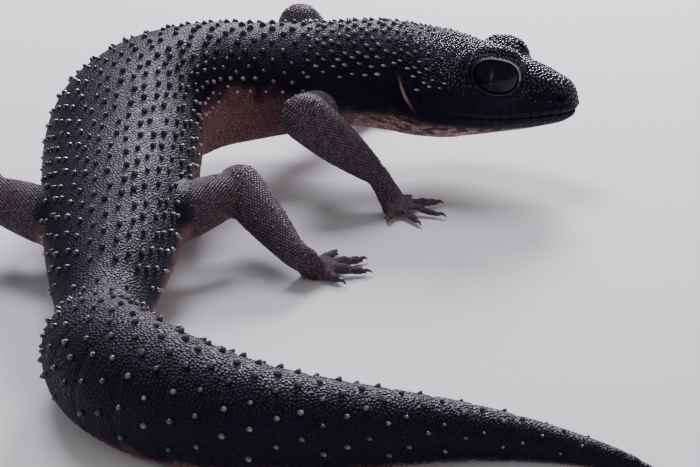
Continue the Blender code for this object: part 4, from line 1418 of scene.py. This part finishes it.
candidates = [paved(3 * MM, ROWS_END, SCALE_SPACE, (0, BELLY_TURN)),
              paved(BELLY_START, ROWS_END, BELLY_SPACE, (BELLY_TURN, 181))]
candidates = [c + draw.normal(0, 0.20 * SCALE_SPACE, c.shape) for c in candidates]
candidates += [limb_paved(points, radii, LIMB_SPACE) for points, radii in bones]
shares = np.linspace(0.25, TOE[-1][0], TOE_RINGS)
candidates += [limb_paved(*toe_course(TOE, shares, palm, heading, length * shares), TOE_SPACE)
               for palm, heading, length in toes]
in_rows = sum(len(c) for c in candidates)
candidates.append(scattered(skin_mesh, AT_RANDOM, draw, head_weight))
candidates = np.concatenate(candidates)
print("candidates:", in_rows, "in rows and", len(candidates) - in_rows, "at random")

# %% Where no scale grows
PLATES_END = 24.0 * MM  # where the plates of the lips end, at the tip of the snout


def is_bare(points):
    """Which points are inside the eyes' opening, on the lips, in a nostril or ear, or underfoot."""
    own = moved(points, TO_HEAD)
    gap, _ = eye_gap(own)
    slant, share = ear_gap(own)
    level, opened = mouth_gap(own)
    rim = slant + EAR_BOW * hill(share - 0.5, 0.5)
    in_ear = (np.abs(rim - 0.05 * MM) < 0.55 * MM) & (np.abs(share - 0.5) < 0.55)
    on_lips = (opened > 0.6) & (np.abs(level) < 0.80 * MM) & (own[:, 0] < PLATES_END)
    bare = (gap < 1.13) | (nostril_gap(own) < 0.85 * MM) | on_lips
    bare |= in_ear & (np.abs(own[:, 1]) > EAR_ASIDE)
    return bare & near_head(own, -1 * MM) | (points[:, 2] < 0.02 * MM)


spots, ways, good = seated(candidates)
spots, ways = spots[good], ways[good]
space = local_space(spots) * draw.uniform(0.92, 1.06, len(spots))
bare = is_bare(spots)
spots, ways, space = spots[~bare], ways[~bare], space[~bare]
print("left bare:", int(bare.sum()))

# %% Keep those that have room
KEPT_APART = 0.76  # share of the two reaches that two scales keep between them
boxes = {}


def crowded(x, y, z, reach):
    """True if a scale of this reach would stand too near one that is kept already."""
    i, j, k = int(x // BOX), int(y // BOX), int(z // BOX)
    for a in (i - 1, i, i + 1):
        for b in (j - 1, j, j + 1):
            for c in (k - 1, k, k + 1):
                for (px, py, pz, other) in boxes.get((a, b, c), ()):
                    apart = (px - x) ** 2 + (py - y) ** 2 + (pz - z) ** 2
                    if apart < (KEPT_APART * (reach + other)) ** 2:
                        return True
    return False


def take(x, y, z, reach):
    boxes.setdefault((int(x // BOX), int(y // BOX), int(z // BOX)), []).append((x, y, z, reach))


for (x, y, z), reach in zip(tubercle_roots.tolist(), tubercle_radii.tolist()):
    take(x, y, z, min(reach, 0.5 * BOX))
kept = []
for k, ((x, y, z), reach) in enumerate(zip(spots.tolist(), (space / 2).tolist())):
    if not crowded(x, y, z, reach):
        take(x, y, z, reach)
        kept.append(k)
spots, space = spots[kept], space[kept]
print("scales kept:", len(kept))

# %% Let them push one another apart
ROUNDS, NEIGHBOURS, PUSH = 5, 8, 0.45
TOUCHING = 1e-7  # nearer than this, two roots are the same one


def pushed(spots, space, fixed, fixed_space):
    """Places after each has been pushed a little by neighbours that stand too near it."""
    everyone, reach = np.concatenate((spots, fixed)), np.concatenate((space, fixed_space))
    tree = KDTree(len(everyone))
    for k, spot in enumerate(everyone.tolist()):
        tree.insert(spot, k)
    tree.balance()
    near = np.array([[found[1] for found in tree.find_n(spot, NEIGHBOURS)]
                     for spot in spots.tolist()])
    away = spots[:, None] - everyone[near]
    gap = np.linalg.norm(away, axis=-1)
    wanted = 0.5 * (space[:, None] + reach[near])
    push = np.where(gap > TOUCHING, np.clip(wanted - gap, 0, None) / np.maximum(gap, TOUCHING), 0.0)
    return spots + PUSH * (push[..., None] * away).sum(1)


for _ in range(ROUNDS):
    spots, ways, _ = seated(pushed(spots, space, tubercle_roots, 2 * tubercle_radii))
settled = ~is_bare(spots)
spots, ways, space = spots[settled], ways[settled], space[settled]
print("scales settled:", len(spots))

# %% One scale
SCALE = ((1.0, -0.55), (0.68, 0.80))  # radius and height of its rings
SCALE_SIDES = 5


def scale_shape():
    """A low dome: two rings, and a peak poked up in the middle of the upper one."""
    bm = turned_shape(SCALE, SCALE_SIDES)
    top = max(bm.faces, key=lambda face: face.calc_center_median().z)
    peak = bmesh.ops.poke(bm, faces=[top])["verts"][0]
    peak.co.z = 1.0
    bm.verts.index_update()
    return bm


print("points of a scale:", len(SCALE) * SCALE_SIDES + 1)

# %% The scales
MOST_IN_ONE = 10500  # scales in one piece

distance, turn, _ = address(spots)
limb = markings(spots)["limb"] > 0.4
degrees = np.degrees(np.abs(turn))
top_share = eased((82 - degrees) / 32) * eased((-2.5 * MM - distance) / (5 * MM))
on_top = (draw.random(len(spots)) < top_share) & (distance < 0) & ~limb
height = space * np.where(limb, 0.26, np.where(distance < TAIL_START, 0.10, 0.15))
height = np.where((distance < 0) & ~limb, space * (0.20 + 0.12 * top_share), height)
parts = (
    ("scales_head", on_top, top_finish),
    ("scales_face", (distance < 0) & ~limb & ~on_top, face_finish),
    ("scales_trunk", (distance >= 0) & (distance < TAIL_START) & ~limb, scale_finish),
    ("scales_tail", (distance >= TAIL_START) & ~limb, scale_finish),
    ("scales_limbs", limb, scale_finish),
)
spin_way = draw.uniform(0, 2 * math.pi, len(spots))
spins = np.stack((np.cos(spin_way), np.sin(spin_way), 0.3 * np.ones(len(spots))), -1)
spins = np.where(limb[:, None], leg_place(spots)[3], spins)
for name, chosen, finish in parts:
    order = np.nonzero(chosen)[0]
    order = order[np.argsort(distance[order], kind="stable")]
    for k in range(0, len(order), MOST_IN_ONE):
        here = order[k:k + MOST_IN_ONE]
        wide = np.where(distance[here] < 0, 0.62 - 0.03 * top_share[here], 0.60)
        long = np.where(limb[here], 1.16, 1.0)
        sizes = np.stack((wide * long * space[here], 0.93 * wide / long * space[here], height[here]), -1)
        # the limbs' scales get paler tops: partly pale specks, partly a painted highlight
        strewn(f"{name}_{k // MOST_IN_ONE + 1}", scale_shape(), spots[here], ways[here],
               spins[here], sizes, np.where(limb[here], 0.45, 0.15),
               limb[here] * draw.uniform(0, 0.2, len(here)), finish,
               draw.uniform(-0.5, 0.5, len(here)))

# %% [markdown]
# ## Eyes
# Each eyeball is a sphere whose clear front bulges a little. The eye of a black gecko is nearly
# black, and its upright slit is drawn as a faint grey-blue line, a painted reflection. The slit is
# drawn by two values kept on the eyeball's points, how far ahead and how far up they lie, so it
# turns with the eye.

# %% The finish of the eyes
IRIS_TONES = (0.004, 0.004, 0.006, 1), (0.0060, 0.0060, 0.0100, 1)
# painted reflection: the slit is drawn lighter than the iris, as a faint grey-blue glint along the pupil
SLIT_TONE = (0.036, 0.049, 0.070, 1)
SLIT_AHEAD = -0.22  # of the eye's radius, back from where it looks
SLIT_HALF_WIDTH, SLIT_HALF_HEIGHT, SLIT_BLUR = 0.055, 0.21, 0.05

eye_finish, tree, surface = finish_named("wet_eye")
ahead = add(tree, "ShaderNodeAttribute", attribute_name="ahead").outputs["Fac"]
up = add(tree, "ShaderNodeAttribute", attribute_name="up").outputs["Fac"]
aside = sums(tree, "ABSOLUTE", sums(tree, "SUBTRACT", ahead, SLIT_AHEAD))
rise = sums(tree, "POWER", sums(tree, "ABSOLUTE", sums(tree, "DIVIDE", up, SLIT_HALF_HEIGHT)), 2.0)
half_width = sums(tree, "MULTIPLY", sums(tree, "SUBTRACT", 1.0, rise), SLIT_HALF_WIDTH)
inside = sums(tree, "SUBTRACT", half_width, aside)
# where the painted reflection of the slit lies
slit = add(tree, "ShaderNodeMapRange", {0: inside, 1: -SLIT_BLUR, 2: SLIT_BLUR},
           interpolation_type="SMOOTHSTEP").outputs[0]
where = add(tree, "ShaderNodeTexCoord").outputs["Object"]
threads = add(tree, "ShaderNodeTexNoise", {"Vector": where, "Scale": 1500.0, "Detail": 3.0}).outputs["Fac"]
iris = mix(tree, threads, *IRIS_TONES)
tree.links.new(mix(tree, slit, iris, SLIT_TONE), surface.inputs["Base Color"])
surface.inputs["Roughness"].default_value = 0.05
surface.inputs["Specular IOR Level"].default_value = 0.16
print("finish of the eyes:", len(tree.nodes), "nodes")

# %% Eyeballs
BULGE, BULGE_REACH = 0.13 * MM, math.radians(48)
FULLNESS = (1.07, 1.04, 1.02)  # of the ball, along, up and out of the eye, so that the lids touch it

for side, name in zip(SIDES, ("eyeball_left", "eyeball_right")):
    centre, look, ahead, up = eye_axes(side)
    bm = bmesh.new()
    bmesh.ops.create_uvsphere(bm, u_segments=56, v_segments=40, radius=EYE_RADIUS)
    turn = Matrix((ahead, look.cross(ahead), look)).transposed()
    gazes = []
    for vert in bm.verts:
        angle = Vector((0, 0, 1)).angle(vert.co)
        vert.co *= 1 + BULGE / EYE_RADIUS * float(eased(1 - angle / BULGE_REACH))
        spot = turn @ Vector([v * full for v, full in zip(vert.co, FULLNESS)])
        gazes.append((spot.dot(ahead) / EYE_RADIUS, spot.dot(up) / EYE_RADIUS))
        vert.co = HEAD_FRAME @ (centre + spot)
    bmesh.ops.recalc_face_normals(bm, faces=bm.faces)
    ball = object_from(name, bm, eye_finish)
    put_marks(ball.data, {"ahead": np.array(gazes)[:, 0], "up": np.array(gazes)[:, 1]})
    finished(ball, "eye", name.replace("eyeball", "eye"))

# %% [markdown]
# ## Lids
# The rim of the lids is a soft cord round the opening, thicker above than below. It is spun as a
# plain ring, and each point is then sent to its place on the almond of the opening, so it lies
# over the curve of the eyeball. Its upper edge is paler, partly its own pale edge and partly a
# painted highlight. A fringe of fine pointed scales stands along its upper half.

# %% Rims of the lids
RING_RADIUS = 4.0  # of the plain ring before it is bent, with a cord of radius 1
LID_STEPS, LID_SIDES = 64, 10
LID_OFFSET = 0.12 * MM  # of the cord outside the opening
LID_THICK, LID_THIN = 0.19 * MM, 0.13 * MM
# painted highlight: the upper edge of each lid is paler, partly its own pale edge and partly painted light
# from above
LIT_TURN, LIT_TIP = 0.4, 0.75  # how far the pale upper edge reaches forward, and how pale it is


def lid_place(side, around, out, rise):
    """A place on one eye's lid, round its opening, and out and up in shares of its thickness."""
    centre, look, ahead, up = eye_axes(side)
    east, north = math.cos(around), math.sin(around)
    power = 2 / (LID_SQUARENESS if north > 0 else 2.0)
    across = (OPENING_HALF_LENGTH + LID_OFFSET) * math.copysign(abs(east) ** power, east)
    height = (OPENING_HALF_HEIGHT + LID_OFFSET) * math.copysign(abs(north) ** power, north)
    thick = LID_THIN + (LID_THICK - LID_THIN) * float(eased(0.5 + 0.8 * north))
    front = math.sqrt(LID_RADIUS**2 - across**2 - height**2)
    way = (ahead * east / OPENING_HALF_LENGTH + up * north / OPENING_HALF_HEIGHT).normalized()
    spot = centre + look * (front + thick * rise) + ahead * across + up * height
    return spot + way * thick * out, look


for side, name in zip(SIDES, ("lid_left", "lid_right")):
    bm = bmesh.new()
    upright = Matrix.Translation((RING_RADIUS, 0, 0)) @ Matrix.Rotation(math.pi / 2, 4, "X")
    bmesh.ops.create_circle(bm, segments=LID_SIDES, radius=1.0, matrix=upright)
    bmesh.ops.spin(bm, geom=bm.edges[:], cent=(0, 0, 0), axis=(0, 0, 1), angle=2 * math.pi,
                   steps=LID_STEPS, use_merge=True)
    upper = []
    for vert in bm.verts:
        around = math.atan2(vert.co.y, vert.co.x)
        out = math.hypot(vert.co.x, vert.co.y) - RING_RADIUS
        upper.append(float(eased(1.5 * math.sin(around + LIT_TURN))))
        vert.co = HEAD_FRAME @ lid_place(side, around, out, vert.co.z)[0]
    bm.normal_update()
    bmesh.ops.recalc_face_normals(bm, faces=bm.faces)
    rim = object_from(name, bm, top_finish)
    marks = markings(vertex_places(rim.data))
    marks["gloss"] = np.array(upper)
    # painted highlight along the upper edge, partly the lid's own pale edge
    marks["tip"] = LIT_TIP * marks["gloss"]
    put_marks(rim.data, marks)
    finished(rim, "skin")

# %% Fringe of the lids
FRINGE, FRINGE_SPLAY = 30, 0.6  # scales over each eye, and how far they lean away from it
FRINGE_SIZE, FRINGE_SIDES = (0.15 * MM, 0.13 * MM, 0.17 * MM), 5

spots, ways = [], []
for side in SIDES:
    for around in np.linspace(math.radians(-8), math.radians(188), FRINGE):
        spot, look = lid_place(side, float(around), 0.35, 0.8)
        splay = FRINGE_SPLAY * (spot - eye_axes(side)[0]).normalized()
        spots.append(HEAD_FRAME @ spot)
        ways.append(HEAD_FRAME.to_3x3() @ (look + splay).normalized())
spots, ways = np.array(spots), np.array(ways)
sizes = np.array(FRINGE_SIZE) * draw.uniform(0.85, 1.15, (len(spots), 1))
strewn("lid_fringe", turned_shape(TUBERCLE, FRINGE_SIDES), spots, ways, backwards(spots), sizes,
       0.2, 0.0, scale_finish, draw.uniform(0, 0.5, len(spots)))

# %% [markdown]
# ## Lips
# The scales along the lips are the largest on the head: a row of oblong plates above the mouth and
# one below. Each is a small cube with all its edges bevelled until it is a pillow, pressed flat on
# the skin.

# %% Plates of the lips
PLATES, PLATES_START = 12, 8.6 * MM
PLATE_LEVEL = 0.46 * MM  # of a plate's middle, above or below the line of the mouth
PLATE_HALF_HEIGHT, PLATE_HALF_DEPTH = 0.38 * MM, 0.05 * MM
STEP_BACK = 0.5 * MM  # along the head, to find which way a plate runs


def head_spot(x, z, side):
    """A place on the side of the head at a level, in its own frame."""
    _, top, bottom, widest = (float(v[0]) for v in along(HEAD, x))
    reach = top - widest if z > widest else widest - bottom
    turn = math.acos(max(-1.0, min(1.0, (z - widest) / reach)))
    return head_points(np.array([x]), np.array([side * turn]))[0]


def plate_shape():
    bm = bmesh.new()
    bmesh.ops.create_cube(bm, size=2.0)
    bmesh.ops.bevel(bm, geom=bm.edges[:], offset=0.75, segments=3, profile=0.5, affect="EDGES",
                    material=-1)
    return bm


edges_along = np.linspace(PLATES_START, PLATES_END, PLATES + 1)
spots, leads, sizes = [], [], []
for side in SIDES:
    for start, end in zip(edges_along, edges_along[1:]):
        for way in (1, -1):
            x = (start + end) / 2
            taper = 0.62 + 0.38 * float(eased((x - 8 * MM) / (5 * MM)))
            level = float(along(MOUTH, x)[0][0]) + way * PLATE_LEVEL * taper
            spot, before = head_spot(x, level, side), head_spot(x - STEP_BACK, level, side)
            spots.append(spot)
            leads.append(spot - before)
            stretch = np.linalg.norm(spot - before) / STEP_BACK
            sizes.append(((end - start) * 0.50 * stretch, PLATE_HALF_HEIGHT * taper, PLATE_HALF_DEPTH))
spots = moved(np.array(spots), TO_WORLD)
leads = np.array(leads) @ TO_WORLD[:3, :3].T
leads /= np.linalg.norm(leads, axis=1)[:, None]
spots, ways, _ = seated(spots)
strewn("lip_plates", plate_shape(), spots, ways, leads, np.array(sizes), 0.0, 0.0, face_finish,
       draw.uniform(-0.3, 0.3, len(spots)))

# %% Scales round the nostrils
ROUND_NOSTRIL = 7
NOSTRIL_RING = (0.74 * MM, 0.70 * MM)  # half its length and half its height
NOSTRIL_SCALE, NOSTRIL_SIDES = (0.36 * MM, 0.33 * MM, 0.10 * MM), 7

spots = []
for side in SIDES:
    for k in range(ROUND_NOSTRIL):
        turn = 2 * math.pi * k / ROUND_NOSTRIL
        spots.append(head_spot(NOSTRIL_AT.x + NOSTRIL_RING[0] * math.cos(turn),
                               NOSTRIL_AT.z + NOSTRIL_RING[1] * math.sin(turn), side))
spots, ways, _ = seated(moved(np.array(spots), TO_WORLD))
sizes = np.tile(NOSTRIL_SCALE, (len(spots), 1))
strewn("nostril_scales", turned_shape(SCALE, NOSTRIL_SIDES), spots, ways, backwards(spots), sizes,
       0.0, 0.0, scale_finish, draw.uniform(-0.3, 0.3, len(spots)))

# %% [markdown]
# ## Claws
# Twenty small hooks of dark horn stand at the ends of the toes. Each is a loft that arches up and
# comes down in a point just above the floor.

# %% The finish of the claws
HORN_TONES = (0.012, 0.010, 0.010, 1), (0.060, 0.046, 0.042, 1)

horn, tree, surface = finish_named("dark_horn")
where = add(tree, "ShaderNodeTexCoord").outputs["Object"]
streaks = add(tree, "ShaderNodeTexNoise", {"Vector": where, "Scale": 1800.0, "Detail": 3.0})
tree.links.new(mix(tree, streaks.outputs["Fac"], *HORN_TONES), surface.inputs["Base Color"])
surface.inputs["Roughness"].default_value = 0.28
print("finish of the claws:", len(tree.nodes), "nodes")

# %% Claws
CLAW = (  # distance beyond the end of the toe, height, radius
    (-0.45 * MM, 0.56 * MM, 0.30 * MM),
    (0.00 * MM, 0.68 * MM, 0.31 * MM),
    (0.35 * MM, 0.76 * MM, 0.25 * MM),
    (0.75 * MM, 0.66 * MM, 0.16 * MM),
    (1.15 * MM, 0.38 * MM, 0.05 * MM),
)
CLAW_SIDES, CLAW_RINGS = 10, 12

all_claws = bmesh.new()
reaches = np.linspace(CLAW[0][0], CLAW[-1][0], CLAW_RINGS)
for palm, heading, length in toes:
    course = toe_course(CLAW, reaches, palm, heading, length + reaches)
    join(all_claws, loft(limb_rings(*course, CLAW_SIDES)))
claws = object_from("claws", all_claws, horn)
finished(claws, "claw", *[leg["foot"] for leg in LEGS])
